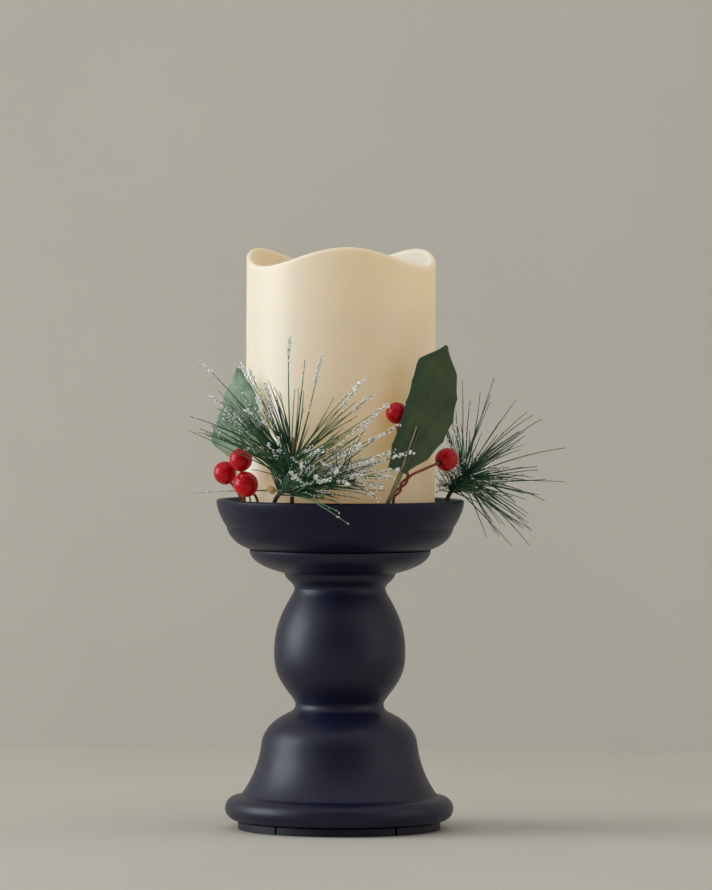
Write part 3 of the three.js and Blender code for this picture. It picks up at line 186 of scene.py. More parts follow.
# %% Finishes of the garland
RUST = finish("rust_wire", (116, 44, 26), (172, 72, 44), (0.45, 0.7), 900, 2600, 0.6, (1, 1, 0.25))
BARK = finish("pine_bark", (38, 44, 30), (74, 70, 48), (0.7, 0.9), 700, 1400, 0.8, (1, 1, 0.3))
WREATH = finish("wrapped_wire", (42, 40, 30), (76, 68, 50), (0.6, 0.85), 500, 1600, 0.7)
TWIG = finish("bare_twig", (172, 134, 76), (220, 182, 118), (0.6, 0.85), 500, 1500, 0.6, (1, 1, 0.2))
FROST = finish("frost_crystals", (236, 237, 234), (252, 252, 250), (0.12, 0.35), 1500, 4000, 0.3,
               Specular_IOR_Level=0.8)
BERRY = finish("berry_lacquer", (180, 0, 16), (204, 2, 26), (0.13, 0.2), 90, 500, 0.05,
               Specular_IOR_Level=0.28)
CALYX = finish("berry_calyx", (34, 20, 18), (62, 36, 26), (0.6, 0.85), 600, 1800, 0.6)
STALK = finish("leaf_stalk", (14, 16, 12), (30, 30, 22), (0.35, 0.5), 500, 1600, 0.4, (1, 1, 0.2))
# pale husk: its own colour below the blade; beside the dark core on the blade it is a painted highlight
PALE_HUSK_AND_EDGE_HIGHLIGHT = finish("stalk_husk", (112, 108, 82), (156, 150, 118), (0.5, 0.7), 500, 1600, 0.4, (1, 1, 0.2))
print("plain finishes made:", len(bpy.data.materials))

# %% [markdown]
# ### The waxy ivory of the candle
# The pillar is a thin translucent shell, so light enters it and comes out warmer. Subsurface
# scattering does that; the soft mottling is a large, low-contrast noise, and a fainter one runs in
# rings because the tube was moulded upright. In the photograph the lamp is on, and the side away from
# the window still glows. A lamp inside the shell would make a grainy picture, so the wax itself gives off
# a little warm light: less towards the foot, and less inside the tube, where the walls light each other.

# %% The ivory
GLOW_FOOT, GLOW_SHOULDER = 118 * MM, 175 * MM
GLOW_INNER, GLOW_OUTER = 35.2 * MM, 36.8 * MM
GLOW_LEAST, GLOW_MOST, GLOW_INSIDE = 0.151, 0.231, 0.6
WAX_GLOW = (1.0, 0.625, 0.1, 1.0)


def ivory():
    material, tree = new_material("ivory_wax")
    place = object_place(tree)
    height = axes_of(tree, place)["Z"]
    level = spread(tree, height, GLOW_LEAST, GLOW_MOST, GLOW_FOOT, GLOW_SHOULDER, "SMOOTHSTEP")
    radius = distance(tree, stretched(tree, place, (1, 1, 0)))
    inside = spread(tree, radius, GLOW_INSIDE, 1.0, GLOW_INNER, GLOW_OUTER)
    cloud = noise(tree, 22, 3.0, (1, 1, 0.45))
    rings = noise(tree, 60, 2.0, (0.3, 0.3, 5.0))
    return feed(material,
                Base_Color=ramp(tree, cloud, (0.3, (201, 203, 203)), (0.7, (208, 210, 210))),
                Roughness=spread(tree, noise(tree, 140, 3.0), 0.34, 0.46),
                Normal=bump(tree, rings, 0.10, 0.0003),
                Emission_Strength=times(tree, level, inside), Emission_Color=WAX_GLOW,
                Subsurface_Weight=0.8, Subsurface_Radius=(1.0, 0.62, 0.28), Subsurface_Scale=0.009)


IVORY = ivory()
print("made", IVORY.name)

# %% [markdown]
# ## Meshes and objects
# A piece is a mesh that sits in an object. Modifiers do the heavy work, but a finished piece is only
# vertices and faces, with its place in the mesh and its origin at zero. So once the modifiers have run,
# the result is copied into a plain mesh and they go away.

# %% Mesh helpers
def linked(name, data):
    obj = bpy.data.objects.new(name, data)
    bpy.context.scene.collection.objects.link(obj)
    return obj


def object_of(name, vertices, edges=(), faces=()):
    mesh = bpy.data.meshes.new(name)
    mesh.from_pydata([tuple(v) for v in vertices], edges, faces)
    return linked(name, mesh)


def polyline(name, points, closed=False):
    edges = [(i, i + 1) for i in range(len(points) - 1)]
    if closed:
        edges.append((len(points) - 1, 0))
    return object_of(name, points, edges)


def settle(obj):
    graph = bpy.context.evaluated_depsgraph_get()
    graph.update()
    mesh = bpy.data.meshes.new_from_object(obj.evaluated_get(graph), depsgraph=graph)
    obj.modifiers.clear()
    old, obj.data = obj.data, mesh
    bpy.data.meshes.remove(old)
    mesh.name = obj.name
    return obj


def face_out(obj):
    bm = bmesh.new()
    bm.from_mesh(obj.data)
    if bm.calc_volume(signed=True) < 0:
        bmesh.ops.reverse_faces(bm, faces=bm.faces)
    bm.to_mesh(obj.data)
    bm.free()
    return obj


def crease(obj, degrees=38):
    bm = bmesh.new()
    bm.from_mesh(obj.data)
    for face in bm.faces:
        face.smooth = True
    for edge in bm.edges:
        edge.smooth = len(edge.link_faces) == 2 and edge.calc_face_angle(0) < math.radians(degrees)
    bm.to_mesh(obj.data)
    bm.free()
    return obj


def adopt(obj, slot, *nodes, body=BODY):
    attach(obj, body)
    if nodes:
        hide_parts(*nodes)
    print("made", obj.name, len(obj.data.polygons), "faces")
    return obj


# %% [markdown]
# ## The camera
# The photograph was taken from far away with a long lens, a little above the rim of the dish, so the
# ellipses of the turned forms are flat. The camera stands 2.4 m in front and looks at a point above the
# dish, and a very small roll makes the candle stand as it does in the picture.

# %% Camera
AIM_X, AIM_LEVEL = 6.15, 152.5
CAMERA_AWAY, EYE_LEVEL = 2400.0, 210.0
LENS, SENSOR_WIDTH, CAMERA_ROLL = 244.6, 36.0, 0.22


def aim(obj, place, target, roll=0.0):
    turn = (target - place).to_track_quat("-Z", "Y").to_matrix()
    obj.location = place
    obj.rotation_euler = (turn @ Matrix.Rotation(math.radians(roll), 3, "Z")).to_euler()


def photo_camera():
    data = bpy.data.cameras.new("photo_camera")
    data.lens = LENS
    data.sensor_width = SENSOR_WIDTH
    eye = Vector((AIM_X, -CAMERA_AWAY, EYE_LEVEL)) * MM
    bpy.context.scene.camera = linked("photo_camera", data)
    aim(bpy.context.scene.camera, eye, Vector((AIM_X, 0.0, AIM_LEVEL)) * MM, CAMERA_ROLL)


photo_camera()
print("camera lens", LENS, "mm")

# %% [markdown]
# ## Light
# A window far off at the left lights the picture: a big, slightly blue lamp straight to the left, which
# draws the tall highlight on every turned form and leaves the right side darker. A weak warm lamp at the
# right draws the second, fainter highlight. The world gives the rest. It is darker in front, where the
# room behind the camera would be, and a little darker at the right.

# %% Lamps and world
LAMP_TARGET = Vector((0.0, 0.0, 0.15))
SKY_TONE, SKY_LEVEL, SKY_FRONT, SKY_RIGHT = (0.99, 0.99, 1.0, 1), 0.74, 0.13, 0.74
FRONT_SPAN, RIGHT_SPAN = (0.5, 0.95), (0.3, 0.95)


def lamp(name, place, size, power, colour):
    data = bpy.data.lights.new(name, "AREA")
    data.shape = "RECTANGLE"
    data.size, data.size_y = size
    data.energy = power
    data.color = colour
    aim(linked(name, data), Vector(place), LAMP_TARGET)


def studio():
    world = bpy.data.worlds.new("studio")
    world.use_nodes = True
    tree = world.node_tree
    way = axes_of(tree, node(tree, "ShaderNodeTexCoord", output="Generated"))
    ahead = spread(tree, times(tree, way["Y"], -1.0), SKY_LEVEL, SKY_FRONT, *FRONT_SPAN, "SMOOTHSTEP")
    right = spread(tree, way["X"], 1.0, SKY_RIGHT, *RIGHT_SPAN, "SMOOTHSTEP")
    sky = tree.nodes["Background"].inputs
    connect(tree, sky["Color"], SKY_TONE)
    connect(tree, sky["Strength"], times(tree, ahead, right))
    bpy.context.scene.world = world
    bpy.context.scene.view_settings.view_transform = "Standard"


lamp("window", place=(-2.56, -0.192, 0.71), size=(1.76, 1.92), power=49.5, colour=(0.855, 0.955, 1.0))
lamp("bounce", place=(1.7, -0.7, 0.5), size=(1.2, 1.2), power=1.4, colour=(1.0, 0.985, 0.96))
studio()
print("lamps made:", len(bpy.data.lights))

# %% [markdown]
# ## The room
# The object stands on a plain floor in front of a plain wall. Both are single sheets, and a Mix Shader
# makes them clear from behind, so that the object can also be looked at from the back and from below.
# Far away the floor fades into one even tone. It does so only for what the camera sees directly, in a
# reflection or through glass, so the light on the object stays as it is.

# %% Room
WALL_AWAY, WALL_HALF, WALL_TOP, FLOOR_HALF = 0.42, 1.3, 3.0, 30.0
FADE_FROM, FADE_TO, FADE_TONE = 0.45, 1.2, (221, 221, 222)


def covered(material, share, over):
    tree = material.node_tree
    surface = tree.nodes["Material Output"].inputs["Surface"]
    paint = surface.links[0].from_socket
    tree.links.new(node(tree, "ShaderNodeMixShader", {0: share, 1: paint, 2: over}), surface)


def one_sided(material):
    tree = material.node_tree
    behind = node(tree, "ShaderNodeNewGeometry", output="Backfacing")
    covered(material, behind, node(tree, "ShaderNodeBsdfTransparent"))
    return material


def faded(material):
    tree = material.node_tree
    share = spread(tree, distance(tree, object_place(tree)), 0.0, 1.0, FADE_FROM, FADE_TO, "SMOOTHSTEP")
    path = node(tree, "ShaderNodeLightPath").node.outputs
    seen = math_node(tree, "MAXIMUM", path["Is Camera Ray"], path["Is Glossy Ray"])
    seen = math_node(tree, "MAXIMUM", seen, path["Is Transmission Ray"])
    tone = node(tree, "ShaderNodeEmission", {"Color": srgb(*FADE_TONE), "Strength": 1.0})
    covered(material, times(tree, share, seen), tone)
    return material


def sheet(name, material, corners):
    obj = object_of(name, corners, (), [(0, 1, 2, 3)])
    obj.data.materials.append(one_sided(material))
    return obj


def room():
    paint = finish("floor_paint", (206, 200, 188), (212, 206, 194), (0.7, 0.8), 6, 300, 0.05,
                   Specular_IOR_Level=0.12)
    plaster = finish("wall_plaster", (219, 213, 202), (225, 219, 208), (0.75, 0.85), 5, 90, 0.25)
    far, back, wide, top = FLOOR_HALF, WALL_AWAY, WALL_HALF, WALL_TOP
    floor = sheet("floor", faded(paint), [(-far, -far, 0), (far, -far, 0), (far, back, 0), (-far, back, 0)])
    wall = sheet("wall", plaster, [(-wide, back, 0), (wide, back, 0), (wide, back, top), (-wide, back, top)])


room()
print("wall", WALL_AWAY, "m behind the axis")

# %% [markdown]
# ## Outlines
# A turned object is easiest to describe by azimuth, radius and height, so one helper turns those into
# a point. The outlines are made of lines, arcs and Bezier curves, as on a drawing. A moulded edge is
# never sharp, so each outline is also softened: it is cut into short steps, each point is averaged with
# its neighbours, and points that the shape doesn't need are thinned out again.

# %% Curves for outlines
def around(azimuth, radius, level):
    angle = math.radians(azimuth)
    return Vector((radius * math.sin(angle), -radius * math.cos(angle), level))


def quad(start, control, end, steps=24):
    points = []
    for i in range(1, steps + 1):
        t = i / steps
        points.append(tuple((1 - t) ** 2 * a + 2 * t * (1 - t) * b + t * t * c
                            for a, b, c in zip(start, control, end)))
    return points


def cubic(start, one, two, end, steps=32):
    points = []
    for i in range(1, steps + 1):
        t, s = i / steps, 1 - i / steps
        points.append(tuple(s ** 3 * a + 3 * s * s * t * b + 3 * s * t * t * c + t ** 3 * d
                            for a, b, c, d in zip(start, one, two, end)))
    return points


def arc(centre, radius, start, end, steps=24):
    angles = [math.radians(start + (end - start) * i / steps) for i in range(steps + 1)]
    return [(centre[0] + radius * math.cos(a), centre[1] + radius * math.sin(a)) for a in angles]


def moved_in(points, wall):
    moved = []
    for i, (r, z) in enumerate(points):
        (r0, z0), (r1, z1) = points[max(i - 1, 0)], points[min(i + 1, len(points) - 1)]
        length = math.hypot(r1 - r0, z1 - z0)
        moved.append((r - (z1 - z0) / length * wall, z + (r1 - r0) / length * wall))
    return moved


# %% Softening an outline
def thinned(points, tolerance):
    if len(points) < 3:
        return points
    (x0, y0), (x1, y1) = points[0], points[-1]
    length = math.hypot(x1 - x0, y1 - y0)
    far, index = 0, 0
    for i, (x, y) in enumerate(points[1:-1], 1):
        if length > 1e-9:
            off = abs((x1 - x0) * (y0 - y) - (x0 - x) * (y1 - y0)) / length
        else:
            off = math.hypot(x - x0, y - y0)
        if off > far:
            far, index = off, i
    if far < tolerance:
        return [points[0], points[-1]]
    return thinned(points[:index + 1], tolerance)[:-1] + thinned(points[index:], tolerance)


def softened(points, passes=9, spacing=0.12, closed=True, tolerance=0.006, sharp=()):
    ring = points + [points[0]] if closed else points
    fine = []
    for (x0, y0), (x1, y1) in zip(ring, ring[1:]):
        steps = max(1, round(math.hypot(x1 - x0, y1 - y0) / spacing))
        fine += [(x0 + (x1 - x0) * i / steps, y0 + (y1 - y0) * i / steps) for i in range(steps)]
    if not closed:
        fine.append(ring[-1])
    for _ in range(passes):
        last = len(fine) - 1
        blurred = [tuple((fine[i - 1][k] + 2 * fine[i][k] + fine[(i + 1) % len(fine)][k]) / 4
                         for k in (0, 1)) for i in range(len(fine))]
        if not closed:
            blurred[0], blurred[last] = fine[0], fine[last]
        fine = [p if p in sharp else b for p, b in zip(fine, blurred)]
    if closed:
        return thinned(fine + [fine[0]], tolerance)[:-1]
    return thinned(fine, tolerance)


# %% [markdown]
# ## Turned pieces
# A turned piece is its outline swept round a circle. The Screw modifier could do it too, but Geometry
# Nodes also shades and paints it in one go: the outline is a loop of edges, Mesh to Curve makes it a
# profile, and Curve to Mesh carries it round a circle. The profile's X points away from the axis and its
# Y points down, so heights go in with their sign turned. Edges steeper than a limit stay crisp, all
# others are shaded smooth. Every tree here has named inputs, so that it can serve many pieces.

# %% Tree helpers
def new_tree(name, **inputs):
    tree = bpy.data.node_groups.new(name, "GeometryNodeTree")
    tree.interface.new_socket("Geometry", in_out="INPUT", socket_type="NodeSocketGeometry")
    for label, kind in inputs.items():
        tree.interface.new_socket(label, in_out="INPUT", socket_type="NodeSocket" + kind)
    tree.interface.new_socket("Geometry", in_out="OUTPUT", socket_type="NodeSocketGeometry")
    given = tree.nodes.new("NodeGroupInput").outputs
    result = tree.nodes.new("NodeGroupOutput").inputs["Geometry"]
    return tree, given, result


def run_tree(obj, tree, **values):
    modifier = obj.modifiers.new(tree.name, "NODES")
    modifier.node_group = tree
    for item in tree.interface.items_tree:
        if item.item_type == "SOCKET" and item.in_out == "INPUT" and item.name in values:
            modifier[item.identifier] = values[item.name]


def painted(tree, geometry, material):
    return node(tree, "GeometryNodeSetMaterial", {"Geometry": geometry, "Material": material})


def realized(tree, geometry):
    return node(tree, "GeometryNodeRealizeInstances", {"Geometry": geometry})


def smoothed(tree, geometry):
    return node(tree, "GeometryNodeSetShadeSmooth", {"Geometry": geometry, "Shade Smooth": True})


def compared(tree, a, operation, b):
    return node(tree, "FunctionNodeCompare", {"A": a, "B": b}, operation=operation)


def line_of(tree, given):
    return node(tree, "GeometryNodeMeshToCurve", {"Mesh": given["Geometry"]})


def circle(tree, sides, radius):
    return node(tree, "GeometryNodeCurvePrimitiveCircle", {"Resolution": sides, "Radius": radius})


# %% The turning tree
PATH = 20.0
CRISP_ANGLE = math.radians(40)


def turning_tree():
    tree, given, result = new_tree("Turned piece", Segments="Int", Material="Material")
    path = circle(tree, given["Segments"], PATH * MM)
    swept = node(tree, "GeometryNodeCurveToMesh", {"Curve": path, "Profile Curve": line_of(tree, given)})
    welded = node(tree, "GeometryNodeMergeByDistance", {"Geometry": swept, "Distance": 1e-6})
    angle = node(tree, "GeometryNodeInputMeshEdgeAngle", output="Unsigned Angle")
    steep = compared(tree, angle, "GREATER_THAN", CRISP_ANGLE)
    edges = {"Geometry": smoothed(tree, welded), "Selection": steep, "Shade Smooth": False}
    crisp = node(tree, "GeometryNodeSetShadeSmooth", edges, domain="EDGE")
    tree.links.new(painted(tree, realized(tree, crisp), given["Material"]), result)
    return tree


TURNING = turning_tree()


def turned(name, outline, material, closed=True, segments=192, tree=None, **values):
    obj = polyline(name, [((r - PATH) * MM, -z * MM, 0) for r, z in outline], closed)
    run_tree(obj, TURNING, Segments=segments, Material=material)
    if tree:
        run_tree(obj, tree, **values)
    return face_out(settle(obj))


# %% [markdown]
# ## The pedestal
# Four turned pieces stack up: bell, bulb, collar and dish. They are moulded and painted on the real
# object, so one satin paint covers them; on the dish it shines a little less, as in the photograph. At
# the two necks the paint runs over the joint, so the pieces meet edge to edge there and keep a sharp
# corner. Under the dish the joint shows as a fine dark line. All four are hollow, because the leads run
# up inside.

# %% Bell, bulb and collar
LOWER_NECK, UPPER_NECK = (17.5, 49.55), (18.1, 95.55)
SOCKET, SPIGOT, BORE, WALL = 15.15, 14.7, 12.5, 2.2


def bell_outline():
    foot, waist, shoulder = (39.2, 13.2), (31.0, 33.8), (19.6, 46.4)
    bead, bead_radius, rebate = (40.6, 8.2), 4.8, 37.5
    flare = [foot] + quad(foot, (32.4, 22.3), waist) + quad(waist, (30.05, 41.7), shoulder)
    outside = [(rebate, 3.4)] + arc(bead, bead_radius, -90, 90) + flare
    outside += quad(shoulder, (17.5, 47.4), LOWER_NECK) + [(SOCKET, LOWER_NECK[1])]
    inside = [p for p in moved_in(flare, WALL) if 18 < p[0] < rebate]
    inside = [(SOCKET, inside[-1][1])] + inside[::-1] + [(rebate, 10.8)]
    return softened(outside + inside, sharp=[LOWER_NECK])


def bulb_outline():
    foot, widest, top = (18.6, 51.9), (26.1, 70.0), (18.9, 93.2)
    belly = [foot] + cubic(foot, (24.0, 58.9), (26.1, 62.0), widest)
    belly += cubic(widest, (26.1, 79.0), (23.8, 85.2), top)
    outside = [(BORE, 44.1), (SPIGOT, 44.1), (SPIGOT, LOWER_NECK[1]), LOWER_NECK]
    outside += quad(LOWER_NECK, (17.5, 50.5), belly[2], 12) + belly[3:-2]
    outside += quad(belly[-3], (18.1, 94.4), UPPER_NECK, 12)
    outside += [(SPIGOT, UPPER_NECK[1]), (SPIGOT, 101.0), (BORE, 101.0)]
    inside = [p for p in moved_in(belly, WALL) if p[0] > 17]
    inside = [(BORE, 92.0)] + inside[::-1] + [(BORE, 53.0)]
    return softened(outside + inside, sharp=[LOWER_NECK, UPPER_NECK])


def collar_outline():
    step, brim, inner_brim = (22.5, 101.7), (36.05, 110.9), (33.85, 107.9)
    outside = [(SOCKET, UPPER_NECK[1]), UPPER_NECK]
    outside += cubic(UPPER_NECK, (18.3, 97.9), (21.2, 98.1), (22.2, step[1]))
    outside += [step] + quad(step, (brim[0], 105.1), brim)
    inside = [(inner_brim[0], brim[1]), inner_brim]
    inside += quad(inner_brim, (inner_brim[0], 106.1), (22.2, 103.9)) + [(SOCKET, 103.9)]
    return softened(outside + inside, sharp=[UPPER_NECK])


adopt(turned("bell", bell_outline(), SATIN), "pedestal", "base_bell")
adopt(turned("bulb", bulb_outline(), SATIN), "pedestal", "stem_bulb")
adopt(turned("ogee_collar", collar_outline(), SATIN), "pedestal", "collar")

# %% [markdown]
# ## Cutting with Boolean modifiers
# The dish has screw holes under the candle, and the bottom cover is full of openings. They could be
# modelled face by face, but cutters are easier to read: simple blocks and rods go in as Boolean
# modifiers, the result is copied out, and the cutters go away.

# %% Cutters
def both_ways(half):
    return (-half, half)


def block(name, x, y, z):
    corners = [(a * MM, b * MM, c * MM) for a in x for b in y for c in z]
    faces = [(0, 1, 3, 2), (4, 6, 7, 5), (0, 4, 5, 1), (2, 3, 7, 6), (0, 2, 6, 4), (1, 5, 7, 3)]
    return object_of(name, corners, (), faces)


def rod(name, radius, bottom, top, x, y, sides=48):
    turns = [2 * math.pi * i / sides for i in range(sides)]
    ring = [(x + radius * math.cos(turn), y + radius * math.sin(turn)) for turn in turns]
    vertices = [(a * MM, b * MM, level * MM) for level in (bottom, top) for a, b in ring]
    faces = [tuple(reversed(range(sides))), tuple(range(sides, 2 * sides))]
    faces += [(i, (i + 1) % sides, sides + (i + 1) % sides, sides + i) for i in range(sides)]
    return object_of(name, vertices, (), faces)


def carve(obj, cutters, operation="DIFFERENCE"):
    for cutter in cutters:
        modifier = obj.modifiers.new("carve", "BOOLEAN")
        modifier.operation = operation
        modifier.solver = "EXACT"
        modifier.object = cutter
    settle(obj)
    for cutter in cutters:
        bpy.data.objects.remove(cutter)
    return obj


# %% Dish
RIM, FLOOR, DISH_RADIUS = 130.9, 115.0, 49.2
TROUGH_RIM, TROUGH_FOOT, RIM_MIDDLE = 46.9, 40.4, 48.05
SCREW_AZIMUTHS = (60, 180, 300)
SCREW_HOLE, CANDLE_SCREW_CIRCLE = 1.65, 22


def dish_outline():
    lower, step, upper, lip = (36.4, 111.2), (45.2, 120.3), (45.6, 120.6), 130.1
    outside = [(6.0, 112.5), (31.2, 112.5), (31.2, 108.8), (33.4, 108.8), (33.4, lower[1]), lower]
    outside += quad(lower, (44.0, 114.0), step) + [upper]
    outside += quad(upper, (49.0, 126.2), (DISH_RADIUS, lip))
    rim = quad((DISH_RADIUS, lip), (DISH_RADIUS, RIM), (RIM_MIDDLE, RIM), 8)
    rim += quad((RIM_MIDDLE, RIM), (TROUGH_RIM, RIM), (TROUGH_RIM, lip), 8)
    inside = quad((TROUGH_RIM, lip), (46.3, 123.5), (TROUGH_FOOT, FLOOR)) + [(6.0, FLOOR)]
    return softened(outside + rim + inside)


holes = []
for azimuth in SCREW_AZIMUTHS:
    spot = around(azimuth, CANDLE_SCREW_CIRCLE, 0)
    holes.append(rod("hole", SCREW_HOLE, 108, 118, spot.x, spot.y))
adopt(crease(carve(turned("dish_body", dish_outline(), DISH), holes)), "pedestal", "dish")

# %% [markdown]
# ## The candle
# The real pillar is a moulded tube whose rim runs in slow waves, as if it had burned down. It could be
# sculpted, but the waves follow a rule, so a second small tree after the turning tree lifts every point
# above the shoulder by a cosine of its azimuth. That makes three waves and leaves the wall as thick as
# it was. The deck inside, where the lamp stands, is turned as well.

# %% Candle shell and deck
CANDLE, CANDLE_INSIDE, CANDLE_FOOT = 37.5, 34.9, 115.3
LIP_MIDDLE, LIP_RADIUS = (36.2, 225.7), 1.3
LEDGE, LEDGE_TOP = 33.2, 204.0
WAVES, WAVE_HEIGHT, WAVE_AZIMUTH, WAVE_FROM, WAVE_RISE = 3, 3.7, 4, 208.5, 16
FINE_FROM, FINE_STEP = 206, 1.5


def wavy_tree():
    tree, given, result = new_tree("Wavy rim", Count="Int", Height="Float", Azimuth="Float", Level="Float",
                                   Rise="Float", Material="Material")
    axes = axes_of(tree, node(tree, "GeometryNodeInputPosition"))
    turn = math_node(tree, "ARCTAN2", axes["X"], times(tree, axes["Y"], -1.0))
    turn = math_node(tree, "SUBTRACT", turn, given["Azimuth"])
    wave = math_node(tree, "COSINE", times(tree, turn, given["Count"]))
    top = math_node(tree, "ADD", given["Level"], given["Rise"])
    share = spread(tree, axes["Z"], 0.0, 1.0, given["Level"], top, "SMOOTHSTEP")
    lift = times(tree, times(tree, wave, share), given["Height"])
    offset = node(tree, "ShaderNodeCombineXYZ", {"Z": lift})
    moved = node(tree, "GeometryNodeSetPosition", {"Geometry": given["Geometry"], "Offset": offset})
    tree.links.new(painted(tree, realized(tree, moved), given["Material"]), result)
    return tree


def pillar_outline():
    outside = [(CANDLE_INSIDE, CANDLE_FOOT)] + [(CANDLE, CANDLE_FOOT + i) for i in range(111)]
    inside = [(CANDLE_INSIDE, 225.0 - i) for i in range(21)] + [(CANDLE_INSIDE, LEDGE_TOP)]
    inside += [(LEDGE, LEDGE_TOP), (LEDGE, 202.3), (CANDLE_INSIDE, 200.6)]
    outline = softened(outside + arc(LIP_MIDDLE, LIP_RADIUS, 0, 180, 16) + inside, 6, tolerance=0.003)
    fine = []
    for (r0, z0), (r1, z1) in zip(outline, outline[1:] + outline[:1]):
        steps = max(1, round(abs(z1 - z0) / FINE_STEP)) if max(z0, z1) > FINE_FROM else 1
        fine += [(r0 + (r1 - r0) * i / steps, z0 + (z1 - z0) * i / steps) for i in range(steps)]
    return fine


def deck_outline():
    edge, under = (34.45, 206.3), 204.3
    top = [edge] + quad(edge, (17.0, 205.7), (6.3, 206.0)) + [(5.3, 207.2), (3.3, 207.2)]
    return softened([(3.3, under), (edge[0], under)] + top)


pillar = turned("candle_pillar", pillar_outline(), IVORY, True, 240, wavy_tree(), Count=WAVES,
                Height=WAVE_HEIGHT * MM, Azimuth=math.radians(WAVE_AZIMUTH), Level=WAVE_FROM * MM,
                Rise=WAVE_RISE * MM, Material=IVORY)
adopt(pillar, "ivory", "candle_shell")
adopt(turned("candle_floor", deck_outline(), IVORY), "ivory", "candle_deck")

# %% [markdown]
# ### The lamp
# A small domed lamp stands in the middle of the deck. Its body is clear, so what is inside shows: a
# post and an anvil of bent metal, with the tiny cup that holds the light source. The dome is turned, and
# the metal is a few blocks joined in one mesh, which is enough at this size.

# %% Lamp
LAMP_RADIUS, LAMP_SHOULDER = 2.5, 210.4


def clear_epoxy():
    material, tree = new_material("lamp_epoxy")
    return feed(material,
                Base_Color=ramp(tree, noise(tree, 300), (0.3, (252, 240, 205)), (0.7, (255, 248, 226))),
                Roughness=spread(tree, noise(tree, 900), 0.05, 0.12),
                Transmission_Weight=0.85, IOR=1.5)


def lamp_outline():
    flange = [(0.0, 204.3), (2.9, 204.3), (2.9, 205.3), (LAMP_RADIUS, 205.3)]
    dome = arc((0, LAMP_SHOULDER), LAMP_RADIUS, 0, 90)
    return softened(flange + [(LAMP_RADIUS, LAMP_SHOULDER)] + dome[1:], 3, 0.06, False)


def joined(name, objects):
    bm, covers = bmesh.new(), []
    for obj in objects:
        first = len(bm.faces)
        bm.from_mesh(obj.data)
        bm.faces.ensure_lookup_table()
        cover = obj.data.materials[0] if obj.data.materials else None
        if cover not in covers:
            covers.append(cover)
        for face in bm.faces[first:]:
            face.material_index = covers.index(cover)
    mesh = bpy.data.meshes.new(name)
    bm.to_mesh(mesh)
    bm.free()
    for cover in filter(None, covers):
        mesh.materials.append(cover)
    for obj in objects:
        bpy.data.objects.remove(obj)
    return linked(name, mesh)


adopt(turned("lamp_body", lamp_outline(), clear_epoxy(), False, 64), "lamp", "led_lamp")
post = block("post", (0.5, 0.95), (-0.25, 0.25), (204.9, 209.2))
anvil = block("anvil", (-1.5, 0.1), (-0.3, 0.3), (206.2, 208.9))
leg = block("leg", (-1.2, -0.75), (-0.25, 0.25), (204.9, 206.4))
cup = rod("cup", 0.55, 208.9, 209.3, -0.55, 0, 20)
lead_frame = joined("lamp_frame", [post, anvil, leg, cup])
lead_frame.data.materials.append(NICKEL)
adopt(crease(lead_frame), "steel")

# %% [markdown]
# ## Under the base
# The cover is a turned plate with a rim and a spigot, moulded in plastic on the real object. Everything
# else in it is cut or added with Booleans: five notches in the edge, three screw wells, the doorway to
# the batteries and the recess of the switch. The battery box stands on its inside.

# %% Bottom cover
COVER_RADIUS, COVER_EDGE, PLATE_TOP = 40.3, 3.1, 2.0
SPIGOT_OUTSIDE, SPIGOT_INSIDE, SPIGOT_TOP = 37.05, 35.45, 6.0
BOX_HALF, BOX_FRONT, BOX_BACK, BOX_TOP, BOX_ROUND, BOX_WALL = 26.25, 1.4, 25.85, 14.4, 35.0, 1.2
DOORWAY_HALF, DOORWAY_FRONT, DOORWAY_BACK = 26.15, 1.5, 25.75
HOOK_X, HOOK_HALF, HOOK_GAP = 14, 3, 0.3
POST_X, POST_Y = 14, -19
COVER_SCREW_CIRCLE, SCREW_WELL = 32, 3.05
COVER_SCREWS = [around(azimuth, COVER_SCREW_CIRCLE, 0) for azimuth in SCREW_AZIMUTHS]
NOTCHES, NOTCH_START, NOTCH_HALF = 5, 34, 0.55


def cover_with_box():
    outline = [(0.0, 0.0), (COVER_RADIUS, 0.0), (COVER_RADIUS, COVER_EDGE), (SPIGOT_OUTSIDE, COVER_EDGE)]
    outline += [(SPIGOT_OUTSIDE, SPIGOT_TOP), (SPIGOT_INSIDE, SPIGOT_TOP)]
    outline += [(SPIGOT_INSIDE, PLATE_TOP), (0.0, PLATE_TOP)]
    cover = turned("cover_plate", softened(outline, 4, 0.1, False), COVER, False, 200)
    walls = block("box", both_ways(BOX_HALF), (BOX_FRONT, BOX_BACK), (1.0, BOX_TOP))
    extra = [carve(walls, [rod("round", BOX_ROUND, 0, 15, 0, 0, 128)], "INTERSECT")]
    extra += [rod("boss", 4.0, 1.0, 5.7, spot.x, spot.y) for spot in COVER_SCREWS]
    extra += [rod("post", 2.6, 1.0, 8.4, x, POST_Y) for x in both_ways(POST_X)]
    return carve(cover, extra, "UNION")


def battery_room():
    half, top, bottom = BOX_HALF - BOX_WALL, BOX_TOP - BOX_WALL, -2
    inside = block("inside", both_ways(half), (BOX_FRONT + BOX_WALL, BOX_BACK - BOX_WALL), (bottom, top))
    return carve(inside, [rod("round", BOX_ROUND - BOX_WALL, bottom, top, 0, 0, 128)], "INTERSECT")


